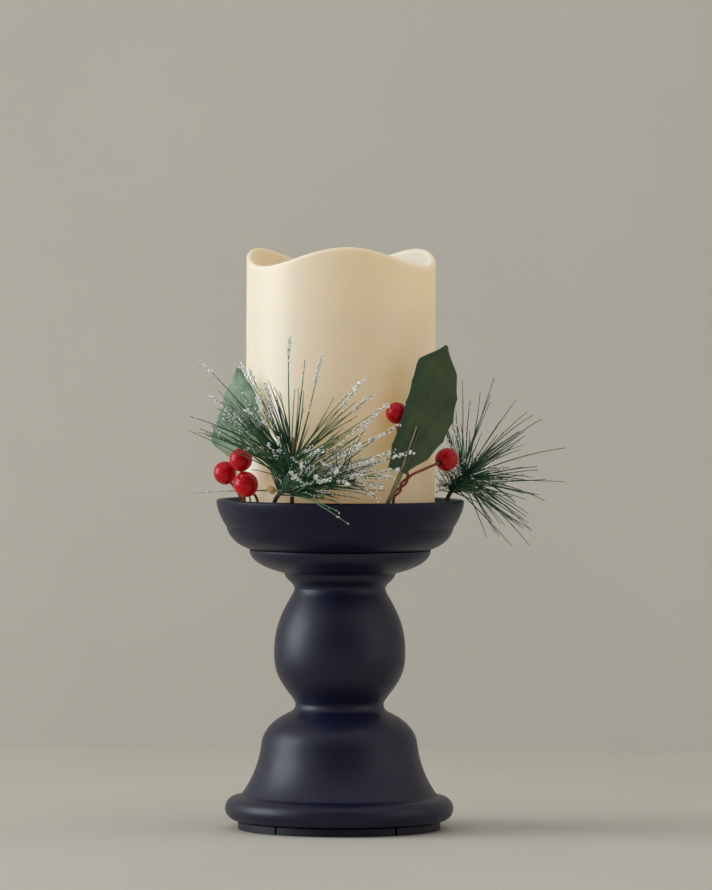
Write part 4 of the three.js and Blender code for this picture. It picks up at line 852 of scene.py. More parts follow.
def cover_openings():
    doorway = block("doorway", both_ways(DOORWAY_HALF), (DOORWAY_FRONT, DOORWAY_BACK), (-1, PLATE_TOP))
    cutters = [doorway, battery_room()]
    for spot in COVER_SCREWS:
        cutters.append(rod("well", SCREW_WELL, -1, 2.3, spot.x, spot.y))
        cutters.append(rod("shank", SCREW_HOLE, PLATE_TOP, 7, spot.x, spot.y))
    for side in (-1, 1):
        hook = [side * HOOK_X + x for x in both_ways(HOOK_HALF + HOOK_GAP)]
        cutters.append(block("slot", hook, (23.65, 26.85), (PLATE_TOP, 4.3)))
        cutters.append(rod("pilot", SCREW_HOLE, 2.5, 9, side * POST_X, POST_Y))
    cutters.append(block("recess", both_ways(7), (-23.5, -14.5), (-1, 1.0)))
    cutters.append(block("switch_slot", both_ways(4.3), (-20.8, -17.2), (-1, 3)))
    for i in range(NOTCHES):
        cutter = block("notch", both_ways(NOTCH_HALF), (-41.3, -38.5), (-1, 4))
        turn = math.radians(NOTCH_START + 360 / NOTCHES * i)
        cutter.data.transform(Matrix.Rotation(turn, 4, "Z"))
        cutters.append(cutter)
    return cutters


adopt(crease(carve(cover_with_box(), cover_openings()), 35), "cover_plastic", "bottom_cover")

# %% [markdown]
# ### Door, switch and screws
# The door hooks in at the back and swings down, so it rides on its own body, and so does the knob of
# the switch. Both start as blocks; Booleans add the hooks and cut the grip ribs, and a small bevel takes
# the sharpness off. Screws repeat, so one is modelled and Geometry Nodes puts a copy at every point.

# %% Door and switch knob
DOOR_GAP, DOOR_BOTTOM, DOOR_TOP = 0.3, 0.4, 1.7
CATCH_HALF, GRIP_RIBS, RIB_PITCH, RIB_TAPER = 4.5, 5, 1.5, 0.4
KNOB_HALF, GROOVE_HALF, SOFT_EDGE = 2, 0.25, 0.12


def rounded(obj, width, segments=3):
    modifier = obj.modifiers.new("soft_edges", "BEVEL")
    modifier.width = width * MM
    modifier.segments = segments
    modifier.limit_method = "ANGLE"
    modifier.angle_limit = math.radians(40)
    return crease(settle(obj), 50)


def battery_door():
    front, back = DOORWAY_FRONT + DOOR_GAP, DOORWAY_BACK - DOOR_GAP
    door = block("door_panel", both_ways(DOORWAY_HALF - DOOR_GAP), (front, back), (DOOR_BOTTOM, DOOR_TOP))
    parts = []
    for side in (-1, 1):
        hook = [side * HOOK_X + x for x in both_ways(HOOK_HALF)]
        parts.append(block("riser", hook, (23.85, back), (1.2, 3.3)))
        parts.append(block("tongue", hook, (23.85, 26.75), (2.3, 3.3)))
    parts.append(block("finger", both_ways(CATCH_HALF), (2.9, 3.5), (1.2, 3.6)))
    carve(door, parts, "UNION")
    ribs = [block("rib", both_ways(CATCH_HALF), (0.8, 3.4), (-0.6, 1.0))]
    for k in range(GRIP_RIBS):
        shift = RIB_PITCH * k
        ribs.append(block("rib", both_ways(8 - RIB_TAPER * k), (5.4 + shift, 6.0 + shift), (0, 0.75)))
    carve(door, ribs)
    door.data.materials.append(COVER)
    return rounded(door, SOFT_EDGE, 2)


def switch_knob():
    knob = block("slide_knob", both_ways(KNOB_HALF), (-20.5, -17.5), (0.4, 6.3))
    spans = [(x - GROOVE_HALF, x + GROOVE_HALF) for x in (-1, 0, 1)]
    carve(knob, [block("groove", span, (-22, -16), (0, 0.8)) for span in spans])
    knob.data.materials.append(CHIP)
    return rounded(knob, SOFT_EDGE, 2)


adopt(battery_door(), "cover_plastic", "battery_door", body="battery_door")
adopt(switch_knob(), "cover_plastic", "switch_knob", body="switch_knob")

# %% Screws
SCREW_LEVEL, THREADS = 0.4, 11
ARM_LONG, ARM_HALF = 1.5, 0.36


def screw_tree():
    tree, given, result = new_tree("Screws at points", Screw="Object", Material="Material")
    one = node(tree, "GeometryNodeObjectInfo", {"Object": given["Screw"]}, "Geometry")
    copies = node(tree, "GeometryNodeInstanceOnPoints", {"Points": given["Geometry"], "Instance": one})
    tree.links.new(painted(tree, realized(tree, copies), given["Material"]), result)
    return tree


def screw():
    head = (2.1, 0.0)
    outline = [(0, 0.0), head] + quad(head, (2.6, 0.1), (2.6, 0.8)) + [(2.6, 1.6), (1.2, 1.6)]
    for i in range(THREADS):
        outline += [(1.2, 1.9 + i), (0.95, 2.4 + i)]
    piece = turned("screw", softened(outline + [(0, 13.6)], 2, 0.1, False), STEEL, False, 48)
    long, thin, deep = both_ways(ARM_LONG), both_ways(ARM_HALF), (-1, 0.85)
    return crease(carve(piece, [block("arm", long, thin, deep), block("arm", thin, long, deep)]))


def cover_screws():
    one = screw()
    points = [around(azimuth, COVER_SCREW_CIRCLE, SCREW_LEVEL) * MM for azimuth in SCREW_AZIMUTHS]
    screws = object_of("cover_screws", points)
    run_tree(screws, screw_tree(), Screw=one, Material=STEEL)
    settle(screws)
    bpy.data.objects.remove(one)
    return screws


adopt(cover_screws(), "steel", "cover_screw_1", "cover_screw_2", "cover_screw_3")

# %% [markdown]
# ### Behind the door
# Two cells and their contacts show when the door is open. The cells are turned and laid down. A contact
# spring could be a curve with a bevel, but the garland needs many wires as well, so one tree gives any
# line of edges its thickness, and the spring is a line that winds inwards.

# %% The wire tree
def wire_tree():
    tree, given, result = new_tree("Wire", Radius="Float", Sides="Int", Material="Material")
    ring = circle(tree, given["Sides"], given["Radius"])
    skin = node(tree, "GeometryNodeCurveToMesh",
                {"Curve": line_of(tree, given), "Profile Curve": ring, "Fill Caps": True})
    whole = realized(tree, smoothed(tree, skin))
    tree.links.new(painted(tree, whole, given["Material"]), result)
    return tree


WIRE = wire_tree()


def wire(name, points, radius, material, closed=False, sides=12):
    obj = polyline(name, [p * MM for p in points], closed)
    run_tree(obj, WIRE, Radius=radius * MM, Sides=sides, Material=material)
    return crease(face_out(settle(obj)), 60)


# %% Cells and contacts
FRONT_ROW, REAR_ROW, CELL_LEVEL = 8.2, 19.05, 7.6
CELL_RADIUS, CELL_END, CELL_BARE, BUTTON_RADIUS, BUTTON_END = 5.25, 21.85, 21.7, 1.9, 22.65
CONTACT_X, CONTACT_HALF, NUB_TIP, NUB_HALF, NUB_HEIGHT = 24.5, 0.25, 22.95, 1.9, 2.0
SPRING_TURNS, SPRING_STEPS, SPRING_TIP = 2.25, 90, 22.4
SPRING_WIDE, SPRING_NARROW, SPRING_WIRE = 3.0, 1.8, 0.25


def spring(side, y):
    points = []
    for i in range(SPRING_STEPS + 1):
        t = i / SPRING_STEPS
        angle, radius = 2 * math.pi * SPRING_TURNS * t, SPRING_WIDE + (SPRING_NARROW - SPRING_WIDE) * t
        x = side * (CONTACT_X + (SPRING_TIP - CONTACT_X) * t)
        points.append(Vector((x, y + radius * math.cos(angle), CELL_LEVEL + radius * math.sin(angle))))
    return wire("spring", points, SPRING_WIRE, NICKEL)


def plate(side, low, high):
    x = sorted((side * (CONTACT_X + CONTACT_HALF), side * (CONTACT_X - CONTACT_HALF)))
    piece = block("plate", x, (low, high), (3.0, 12.2))
    piece.data.materials.append(NICKEL)
    return piece


def nub(side, y):
    x = sorted((side * CONTACT_X, side * NUB_TIP))
    z = (CELL_LEVEL - NUB_HEIGHT, CELL_LEVEL + NUB_HEIGHT)
    piece = block("nub", x, (y - NUB_HALF, y + NUB_HALF), z)
    piece.data.materials.append(NICKEL)
    return rounded(piece, 0.5)


def cell(name, sign, y):
    outline = [(0, -CELL_END), (4.6, -CELL_END), (CELL_RADIUS, -21.2), (CELL_RADIUS, 21.1), (4.8, 21.6)]
    outline += [(4.4, CELL_END), (BUTTON_RADIUS, CELL_END), (BUTTON_RADIUS, BUTTON_END), (0, BUTTON_END)]
    piece = turned(name, softened(outline, 4, 0.12, False), JACKET, False, 64)
    piece.data.materials.append(NICKEL)
    for face in piece.data.polygons:
        if abs(face.center.z) > CELL_BARE * MM:
            face.material_index = 1
    place = Matrix.Translation(Vector((0, y, CELL_LEVEL)) * MM)
    piece.data.transform(place @ Matrix.Rotation(sign * math.pi / 2, 4, "Y"))
    return piece


adopt(cell("front_cell", -1, FRONT_ROW), "cell_jacket", "cell_front")
adopt(cell("rear_cell", 1, REAR_ROW), "cell_jacket", "cell_rear")
bridge = [plate(1, 4.95, 22.3), spring(1, FRONT_ROW), nub(1, REAR_ROW)]
adopt(joined("bridge", bridge), "steel", "bridge_contact")
adopt(joined("positive", [plate(-1, 4.95, 11.45), nub(-1, FRONT_ROW)]), "steel", "positive_contact")
adopt(joined("negative", [plate(-1, 15.8, 22.3), spring(-1, REAR_ROW)]), "steel", "negative_contact")

# %% [markdown]
# ## The garland: places
# Everything in the garland stands in the trough between the candle and the dish. These helpers give two
# points in the middle of the trough, where a stem is rooted, or a point above the rim, and a smooth line
# through points. That is all a wire or a stem needs, so none of them has to be drawn by hand.

# %% Garland places
ROOT_RISES = (2.2, 9.2)


def above(azimuth, outwards, rise):
    return around(azimuth, CANDLE + outwards, RIM + rise)


def rooted(azimuth):
    points = []
    for rise in ROOT_RISES:
        wall = TROUGH_FOOT + (TROUGH_RIM - TROUGH_FOOT) * rise / (RIM - FLOOR)
        points.append(around(azimuth, (CANDLE + wall) / 2, FLOOR + rise))
    return points


def between(before, a, b, after, t):
    return 0.5 * (2 * a + (b - before) * t + (2 * before - 5 * a + 4 * b - after) * t * t
                  + (3 * a - before - 3 * b + after) * t ** 3)


def flowing(points, steps=10):
    line = []
    for i in range(len(points) - 1):
        before = points[i - 1] if i else points[0] * 2 - points[1]
        after = points[i + 2] if i + 2 < len(points) else points[-1] * 2 - points[-2]
        line += [between(before, points[i], points[i + 1], after, k / steps) for k in range(steps)]
    return line + [points[-1]]


# %% [markdown]
# ## Berries and their wires
# The real berries are lacquered balls on rusty wires. A sphere would look too perfect, so a berry is
# turned from an outline with a dimple and made a little oval. The dimple lies far from its wire, and
# round the wire's end there is a dark calyx. The two wires at the right are wound round each other
# before they part, as florists do it.

# %% Berries
CALYX_FROM, BERRY_WIRE, WIRE_GAP = 0.965, 0.55, 0.05
DIMPLE_HALF, DIMPLE_EDGE, DIMPLE_FLOOR = 0.12, 0.93, 0.88
WIND_STEPS, WIND_TURNS, WIND_RADIUS = 8, 1.5, 0.95


def berry(name, centre, radius, foot):
    outline = [(0, -radius)] + arc((0, 0), radius, -88, 78, 30)
    outline += [(radius * DIMPLE_HALF, radius * DIMPLE_EDGE), (0, radius * DIMPLE_FLOOR)]
    piece = turned(name, softened(outline, 3, 0.12, False), BERRY, False, 48)
    piece.data.materials.append(CALYX)
    for face in piece.data.polygons:
        if face.center.z < -CALYX_FROM * radius * MM:
            face.material_index = 1
    away = (centre - foot).normalized()
    turn = Vector((0, 0, 1)).rotation_difference(away).to_matrix().to_4x4()
    swell = Matrix.Diagonal((0.985, 1.015, 1.0, 1.0))
    piece.data.transform(Matrix.Translation(centre * MM) @ turn @ swell)
    return piece


def wire_end(centre, radius, before):
    return centre + (before - centre).normalized() * (radius + WIRE_GAP)


def winding(half):
    low, high, points = above(28, 5.0, 1), above(38.5, 6.5, 11), []
    for i in range(WIND_STEPS + 1):
        angle = half + 2 * math.pi * WIND_TURNS * i / WIND_STEPS
        side = Vector((math.cos(angle), math.sin(angle), 0)) * WIND_RADIUS
        points.append(low.lerp(high, i / WIND_STEPS) + side)
    return points


BERRIES = [
    ("berry_left_outer", above(-62, 13.8, 11), 4.6, rooted(-66) + [above(-65, 6, 1.5)]),
    ("berry_left_upper", above(-51.5, 12.3, 16.4), 4.6, rooted(-61.5) + [above(-60, 7, 4)]),
    ("berry_left_front", above(-47.4, 12.7, 6.8), 5.0, rooted(-50) + [above(-49.5, 5.5, 1)]),
    ("berry_right_inner", above(31.2, 4.9, 35), 4.3, rooted(30) + winding(0) + [above(34.5, 3.4, 22)]),
    ("berry_right_outer", above(64.3, 8.9, 16.5), 4.6, rooted(26.5) + winding(math.pi) + [above(48, 7, 13)]),
]
for name, centre, radius, way in BERRIES:
    end = wire_end(centre, radius, way[-1])
    adopt(berry(name + "_fruit", centre, radius, end), "berry", name)
    line = flowing(way + [end], 8)
    adopt(wire(name + "_stalk", line, BERRY_WIRE, RUST, sides=10), "rust_wire", name + "_wire")

# %% [markdown]
# ## Leaves
# The leaves are woven cloth on wire, one pale sage and one dark green. The cloth's threads and veins
# follow the leaf, so object coordinates can't draw them. Instead each vertex stores where it is on the
# leaf, and the material reads that: fine strands run along it, side veins branch from the midrib, and
# the left margin is cooler.

# %% Leaf material
VEIN_PAIRS, VEIN_SLANT, WEAVE = 8.0, 2.2, 90


def mixed(tree, share, under, over):
    return node(tree, "ShaderNodeMix", {0: share, 6: under, 7: srgb(*over)}, data_type="RGBA")


def leaf_cloth(name, dark, light, vein, vein_strength, margin, margin_strength):
    material, tree = new_material(name)
    place = node(tree, "ShaderNodeAttribute", output="Vector", attribute_name="leaf")
    axes = axes_of(tree, place)
    aside = math_node(tree, "ABSOLUTE", axes["X"])
    branch = math_node(tree, "SUBTRACT", times(tree, axes["Y"], VEIN_PAIRS), times(tree, aside, VEIN_SLANT))
    side_vein = spread(tree, math_node(tree, "PINGPONG", branch, 0.5), 1.0, 0.0, 0.0, 0.07)
    midrib = spread(tree, aside, 1.0, 0.0, 0.0, 0.06)
    veins = math_node(tree, "MAXIMUM", times(tree, side_vein, 0.7), midrib)
    colour = ramp(tree, noise(tree, 130, 4.0), (0.32, dark), (0.68, light))
    strands = {"Vector": stretched(tree, place, (34, 7, 1)), "Scale": 1.0}
    strand = node(tree, "ShaderNodeTexNoise", strands, "Fac")
    colour = scaled(tree, colour, spread(tree, strand, 0.72, 1.28))
    colour = mixed(tree, spread(tree, axes["X"], margin_strength, 0.0, -0.9, -0.5), colour, margin)
    colour = mixed(tree, times(tree, veins, vein_strength), colour, vein)
    warp = math_node(tree, "SINE", times(tree, axes["X"], WEAVE * 1.3))
    weft = math_node(tree, "SINE", times(tree, axes["Y"], WEAVE * 3.0))
    relief = math_node(tree, "ADD", times(tree, times(tree, warp, weft), 0.25), veins)
    return feed(material, Base_Color=colour, Normal=bump(tree, relief, 0.5),
                Roughness=spread(tree, noise(tree, 400), 0.6, 0.8), Sheen_Weight=0.15)


SAGE = leaf_cloth("leaf_sage", (92, 124, 96), (170, 192, 164), (206, 218, 202), 0.5, (100, 128, 104), 0.3)
HOLLY = leaf_cloth("leaf_holly", (50, 72, 36), (70, 89, 47), (60, 86, 58), 0.2, (36, 70, 50), 0.7)
print("made", SAGE.name, "and", HOLLY.name)

# %% [markdown]
# ### The shape of a leaf
# A plane with Solidify would do for a flat leaf. These are cut in points and folded, so the blade is a
# grid with two faces. Its half-widths are given from foot to tip, its edge runs in shallow scallops with
# points between them, and it folds along the midrib.

# %% Leaf blade
BLADE_HALF = 0.25


def width_at(widths, place):
    i, last = min(int(place), len(widths) - 2), len(widths) - 1
    near = [widths[min(max(i + k, 0), last)] for k in (-1, 0, 1, 2)]
    return between(*near, place - i)


def leaf_place(base, facing, lean, back):
    outward, sideways = around(facing, 1, 0), around(facing + 90, 1, 0)
    lean, back = math.radians(lean), math.radians(back)
    up = Vector((0, 0, math.cos(lean))) + sideways * math.sin(lean)
    up = (up * math.cos(back) - outward * math.sin(back)).normalized()
    across = up.cross(outward).normalized()
    turn = Matrix((across, up, across.cross(up))).transposed().to_4x4()
    return Matrix.Translation(base) @ turn


def leaf_point(u, v, length, left, right, notch, fold, ripple):
    place = v * (len(left) - 1)
    edge = abs(u) ** 6
    width = width_at(left if u < 0 else right, place)
    x = u * width * (1 - notch * edge * abs(math.sin(math.pi * place)) ** 0.7)
    z = -fold * (math.sqrt(x * x + 1.0) - 1.0) + ripple * math.sin(9 * v + 2 * u) * abs(u)
    return Vector((x, length * v, z))


def leaf_faces(across, along):
    faces, row, sheet = [], across + 1, (across + 1) * (along + 1)
    for j in range(along):
        for i in range(across):
            a, b = j * row + i, (j + 1) * row + i
            faces.append((a, a + 1, b + 1, b))
            faces.append((sheet + a, sheet + b, sheet + b + 1, sheet + a + 1))
    rim = list(range(row)) + [j * row + across for j in range(1, along + 1)]
    rim += [along * row + i for i in range(across - 1, -1, -1)] + [j * row for j in range(along - 1, 0, -1)]
    return faces + [(b, a, sheet + a, sheet + b) for a, b in zip(rim, rim[1:] + rim[:1])]


def leaf(name, material, place, shape, across=24, along=72):
    vertices, marks = [], []
    for side in (BLADE_HALF, -BLADE_HALF):
        for j in range(along + 1):
            for i in range(across + 1):
                u, v = 2 * i / across - 1, j / along
                skin = Vector((0, 0, side * (1 - 0.6 * abs(u) ** 8)))
                vertices.append(place @ (leaf_point(u, v, **shape) + skin) * MM)
                marks.append((u, v, 0.0))
    obj = object_of(name, vertices, (), leaf_faces(across, along))
    data = obj.data.attributes.new("leaf", "FLOAT_VECTOR", "POINT").data
    for item, mark in zip(data, marks):
        item.vector = mark
    obj.data.materials.append(material)
    return crease(face_out(obj), 60)


# %% [markdown]
# ### Two leaves and their stalks
# Each leaf gets its foot, the way it faces and leans, the way of its stalk, and its shape. The stalk of
# the pale leaf is covered in the same cloth. That of the dark leaf is a pale husk with a dark core which
# lies on top of it along the blade, so it is made of two wires. Below the blade the husk's pale colour is
# its own. On the blade, where it shows at both sides of the dark core, it is a painted highlight on the
# stalk's edges.

# %% Leaves
LEAVES = [
    ("leaf_left", SAGE, "leaf_pale", leaf_place(above(-57.5, 8.4, 14.4), -20, -4, 4),
     rooted(-57) + [above(-57, 5, 1.5)], [(0.0, 0.5, SAGE)],
     {"length": 38, "left": [2.4, 12.6, 9.4, 6.2, 0.8], "right": [3, 9, 8.6, 6.6, 0.8],
      "notch": 0.04, "fold": 0.06, "ripple": 0.5}),
    ("leaf_right", HOLLY, "leaf_dark", leaf_place(above(29, 11.5, 12), 24, 21, -1),
     # on the blade the pale husk beside the dark core is a painted highlight; below it, the husk's own colour
     rooted(22.5) + [above(26, 7.6, 2.4)], [(0.0, 0.95, PALE_HUSK_AND_EDGE_HIGHLIGHT), (0.72, 0.5, STALK)],
     {"length": 53, "left": [5.5, 7.2, 7.6, 8, 8.4, 8.6, 0.8],
      "right": [2, 9.5, 13.6, 14.6, 12.6, 8.8, 0.8], "notch": 0.06, "fold": 0.15, "ripple": 0.4}),
]
RIB_RISE = ((0.0, 0.1), (0.16, 0.6), (0.36, 0.45))
LEAF_POINTS = []
for name, cloth, slot, place, way, strips, shape in LEAVES:
    adopt(leaf(name + "_blade", cloth, place, shape), slot, name)
    lines = []
    for raised, radius, cover in strips:
        rib = [place @ (leaf_point(0, v, **shape) + Vector((0, 0, lift + raised))) for v, lift in RIB_RISE]
        lines.append(wire(name + "_rib", flowing(rib if raised else way + rib, 10), radius, cover, sides=10))
    adopt(joined(name + "_rib", lines), slot)
    LEAF_POINTS += [place @ leaf_point(i / 6, j / 24, **shape) for i in range(-6, 7) for j in range(25)]

# %% [markdown]
# ## Pine sprigs
# A real sprig has needles in bundles of two or three, with frost on their outer ends. Hair could draw
# them, but hair isn't exported. So the script draws only the middle lines, and stores on each vertex how
# thick the needle is there, how much frost it carries and how yellow it is. Geometry Nodes then gives
# the lines their thickness, and sets grains of frost at even steps along them: a random number is
# compared with the stored frost, and a noise gathers the grains in clumps.

# %% Frost along the needles
CLUMP_SCALE, CLUMP_THIN, CLUMP_SPAN = 420.0, 0.3, (0.40, 0.56)
FROST_STRAY, FROST_SMALL, FROST_LARGE, FULL_TURN = 0.7 * MM, 0.18 * MM, 0.64 * MM, 6.28
STRAY_BY_FROST, SIZE_BY_FROST = (0.5, 0.5), (0.75, 0.42)


def mark(tree, name):
    return node(tree, "GeometryNodeInputNamedAttribute", {"Name": name}, "Attribute")


def random_value(tree, given, low, high, shift, kind="FLOAT"):
    seed = math_node(tree, "ADD", given["Seed"], shift)
    return node(tree, "FunctionNodeRandomValue", {"Min": low, "Max": high, "Seed": seed}, data_type=kind)


def random_vector(tree, given, low, high, shift):
    return random_value(tree, given, (low,) * 3, (high,) * 3, shift, "FLOAT_VECTOR")


def frost_grains(tree, given, line):
    steps = {"Curve": line, "Length": given["Spacing"]}
    points = node(tree, "GeometryNodeCurveToPoints", steps, "Points", mode="LENGTH")
    spot = node(tree, "GeometryNodeInputPosition")
    cloud = node(tree, "ShaderNodeTexNoise", {"Vector": spot, "Scale": CLUMP_SCALE}, "Fac")
    likely = times(tree, mark(tree, "frost"), spread(tree, cloud, CLUMP_THIN, 1.0, *CLUMP_SPAN))
    kept = compared(tree, random_value(tree, given, 0.0, 1.0, 1), "LESS_THAN", likely)
    stray = random_vector(tree, given, -FROST_STRAY, FROST_STRAY, 2)
    stray = scaled(tree, stray, math_node(tree, "MULTIPLY_ADD", mark(tree, "frost"), *STRAY_BY_FROST))
    strewn = node(tree, "GeometryNodeSetPosition", {"Geometry": points, "Offset": stray})
    size = random_vector(tree, given, FROST_SMALL, FROST_LARGE, 4)
    size = scaled(tree, size, math_node(tree, "MULTIPLY_ADD", mark(tree, "frost"), *SIZE_BY_FROST))
    grain = node(tree, "GeometryNodeMeshIcoSphere", {"Radius": 1.0, "Subdivisions": 1}, "Mesh")
    copies = node(tree, "GeometryNodeInstanceOnPoints", {
        "Points": strewn, "Selection": kept, "Instance": grain,
        "Rotation": random_vector(tree, given, 0.0, FULL_TURN, 3), "Scale": size})
    return painted(tree, realized(tree, copies), given["Frost"])


# %% The sprig tree
NEEDLE_SIDES, FROST_SPACING = 5, 0.28


def sprig_tree():
    tree, given, result = new_tree("Frosted sprig", Needle="Material", Bark="Material", Frost="Material",
                                   Spacing="Float", Seed="Int")
    line = line_of(tree, given)
    ring = circle(tree, NEEDLE_SIDES, 1.0)
    skin = node(tree, "GeometryNodeCurveToMesh",
                {"Curve": line, "Profile Curve": ring, "Scale": mark(tree, "thick"), "Fill Caps": True})
    woody = compared(tree, mark(tree, "wood"), "GREATER_THAN", 0.5)
    bark = {"Geometry": painted(tree, skin, given["Needle"]), "Selection": woody, "Material": given["Bark"]}
    wooden = node(tree, "GeometryNodeSetMaterial", bark)
    both = node(tree, "GeometryNodeJoinGeometry")
    tree.links.new(frost_grains(tree, given, line), both.node.inputs[0])
    tree.links.new(smoothed(tree, wooden), both.node.inputs[0])
    tree.links.new(both, result)
    return tree


def needle_green(name, *greens):
    material, tree = new_material(name)
    tint = node(tree, "ShaderNodeAttribute", output="Fac", attribute_name="tint")
    stops = [(i / (len(greens) - 1), green) for i, green in enumerate(greens)]
    return feed(material, Base_Color=ramp(tree, tint, *stops),
                Roughness=spread(tree, noise(tree, 700), 0.35, 0.6),
                Normal=bump(tree, noise(tree, 1800, 2.0, (1, 1, 0.2)), 0.2))


SPRIG = sprig_tree()
NEEDLE = needle_green("pine_needle", (28, 66, 54), (50, 104, 74), (86, 128, 80), (130, 132, 68))
print("made", SPRIG.name, "with", len(SPRIG.nodes), "nodes")

# %% [markdown]
# ### Room for the needles
# A needle may not run into the candle, the dish, a berry or a leaf, and it shouldn't hide a berry or a
# twig that the photograph shows. Each needle is a bent line, and these helpers test the points on it.
# One more helper finds the point in space that lies behind a pixel of the photograph, at a chosen depth.

# %% Tests for a needle
MM_PER_PIXEL, AXIS_COLUMN, EYE_ROW = 0.397, 340.5, 300.2
NEEDLE_GAP, LEAF_GAP_SQUARED = 0.7, 1.7
LOWER_TWIG = above(-31, 13.5, 4.6)
SHOWN = [(centre, radius) for _, centre, radius, _ in BERRIES]
SHOWN += [(above(-23, 9.5, 22), 2.6), (LOWER_TWIG, 2.4)]


def pixel(px, py, y):
    k = MM_PER_PIXEL * (CAMERA_AWAY + y) / CAMERA_AWAY
    return Vector(((px - AXIS_COLUMN) * k, y, EYE_LEVEL - (py - EYE_ROW) * k))


def is_clear(points):
    for p in points:
        r = math.hypot(p.x, p.y)
        if r < CANDLE + NEEDLE_GAP or (r < DISH_RADIUS + NEEDLE_GAP and p.z < RIM + NEEDLE_GAP):
            return False
        if any((p - centre).length < radius + NEEDLE_GAP for _, centre, radius, _ in BERRIES):
            return False
        if any((p - q).length_squared < LEAF_GAP_SQUARED for q in LEAF_POINTS):
            return False
    return True


def hides_something(points):
    for p in points:
        for centre, radius in SHOWN:
            if p.y < centre.y and math.hypot(p.x - centre.x, p.z - centre.z) < radius:
                return True
    return False


def bent(root, tip, sag, steps=8):
    middle = root.lerp(tip, 0.55) + sag
    shares = [i / steps for i in range(steps + 1)]
    return [root * (1 - t) ** 2 + middle * 2 * t * (1 - t) + tip * t * t for t in shares]


# %% [markdown]
# ### Growing needles
# The needles whose tips stand out in the photograph come first. If one would run into something, its tip
# is brought forward in steps until it is clear. The rest grow in fans: a fan is a range of angles, depths,
# lengths and roots, in which bundles are tried at random with a fixed seed and kept where they have room.

# %% Needles one by one and in fans
TIP_TRIES, TIP_STEP, FAN_TRIES = 12, 2.0, 80
ROOT_PICKS, ROOT_SPAN, SINGLE_SAG = 3, (0.05, 0.95), ((-1.5, 1.5), (-1, 1), (0.5, 3.5))
BUNDLE_SIZES, BUNDLE_DRIFT = (2, 2, 3), ((-2.5, 2.5), (-2, 2), (-0.5, 3.5))
BUNDLE_STRAY, STRAY_BEND, LENGTH_SPREAD = ((-0.09, 0.09),) * 3, 14, (0.82, 1.0)
FROST_SPREAD, TINT_SPREAD = (0.5, 1.0), (-0.1, 0.1)


def drawn(chance, ranges):
    return Vector([chance.uniform(*span) for span in ranges])


def single_needles(bark, tips, heavy, chance):
    needles = []
    for px, py, y, white in tips:
        for step in range(TIP_TRIES):
            tip = pixel(px, py, y - TIP_STEP * step)
            picks = [bark[int(chance.uniform(*ROOT_SPAN) * (len(bark) - 1))] for _ in range(ROOT_PICKS)]
            root = min(picks, key=lambda p: (p - tip).length)
            line = bent(root, tip, drawn(chance, SINGLE_SAG))
            if is_clear(line[2:]):
                needles.append((line, heavy * white, chance.random()))
                break
    return needles


def bundle(root, way, length, chance):
    lines = []
    drift = drawn(chance, BUNDLE_DRIFT)
    for _ in range(chance.choice(BUNDLE_SIZES)):
        off = drawn(chance, BUNDLE_STRAY)
        reach = (way + off).normalized() * length * chance.uniform(*LENGTH_SPREAD)
        lines.append(bent(root, root + reach, drift + off * STRAY_BEND))
    return lines


def fan_needles(bark, fan, lowest, furthest, chance):
    angles, depths, lengths, roots, count, (share, white), tints = fan
    needles, tries = [], 0
    while len(needles) < count and tries < count * FAN_TRIES:
        tries += 1
        angle = math.radians(chance.uniform(*angles))
        depth = chance.uniform(*depths)
        way = Vector((math.cos(angle), depth, math.sin(angle))).normalized()
        root = bark[int(chance.uniform(*roots) * (len(bark) - 1))]
        tint = chance.uniform(*tints)
        for line in bundle(root, way, chance.uniform(*lengths), chance):
            within = line[-1].z > RIM + lowest and line[-1].x < furthest
            if within and is_clear(line[2:]) and not hides_something(line[2:]):
                frost = white * chance.uniform(*FROST_SPREAD) if chance.random() < share else 0.0
                needles.append((line, frost, tint + chance.uniform(*TINT_SPREAD)))
    return needles


# %% A whole sprig
STEM_RADIUS, STEM_TAPER, STEM_TINT, BARE_STEM = 1.1, 0.5, 0.5, 2.3
NEEDLE_TAPER, ONSET_SPREAD, ONSET_LENGTH = 0.66, (-0.08, 0.08), 0.15


def sprig(name, stem, tips, fans, lowest, furthest, frost_from, heavy, thick, seed):
    chance = random.Random(seed)
    bark = [p for p in stem if p.z > RIM + BARE_STEM]
    needles = single_needles(bark, tips, heavy, chance)
    for fan in fans:
        needles += fan_needles(bark, fan, lowest, furthest, chance)
    lines, marks = [line for line, _, _ in needles] + [stem], []
    for line, white, tint in needles:
        onset = frost_from + chance.uniform(*ONSET_SPREAD)
        for t in [k / (len(line) - 1) for k in range(len(line))]:
            grains = white * max(0.0, min(1.0, (t - onset) / ONSET_LENGTH))
            marks.append((thick * (1 - NEEDLE_TAPER * t) * MM, grains, 0.0, tint))
    for k in range(len(stem)):
        marks.append(((STEM_RADIUS - STEM_TAPER * k / len(stem)) * MM, 0.0, 1.0, STEM_TINT))
    vertices, edges = [], []
    for line in lines:
        start = len(vertices)
        vertices += [p * MM for p in line]
        edges += [(start + k - 1, start + k) for k in range(1, len(line))]
    obj = object_of(name, vertices, edges)
    for index, label in enumerate(("thick", "frost", "wood", "tint")):
        data = obj.data.attributes.new(label, "FLOAT", "POINT").data
        for item, values in zip(data, marks):
            item.value = values[index]
    run_tree(obj, SPRIG, Needle=NEEDLE, Bark=BARK, Frost=FROST, Spacing=FROST_SPACING * MM, Seed=seed)
    print(name, "needles", len(needles))
    return settle(obj)


# %% [markdown]
# ### What the photograph shows of each sprig
# Three lists hold the tips that can be told apart in the photograph: the column and row of the pixel, the
# depth that suits the sprig, and how white the tip is. The upright sprig stands in front at the left, the
# sweep lies along the front of the rim, and the third one leans out at the right.

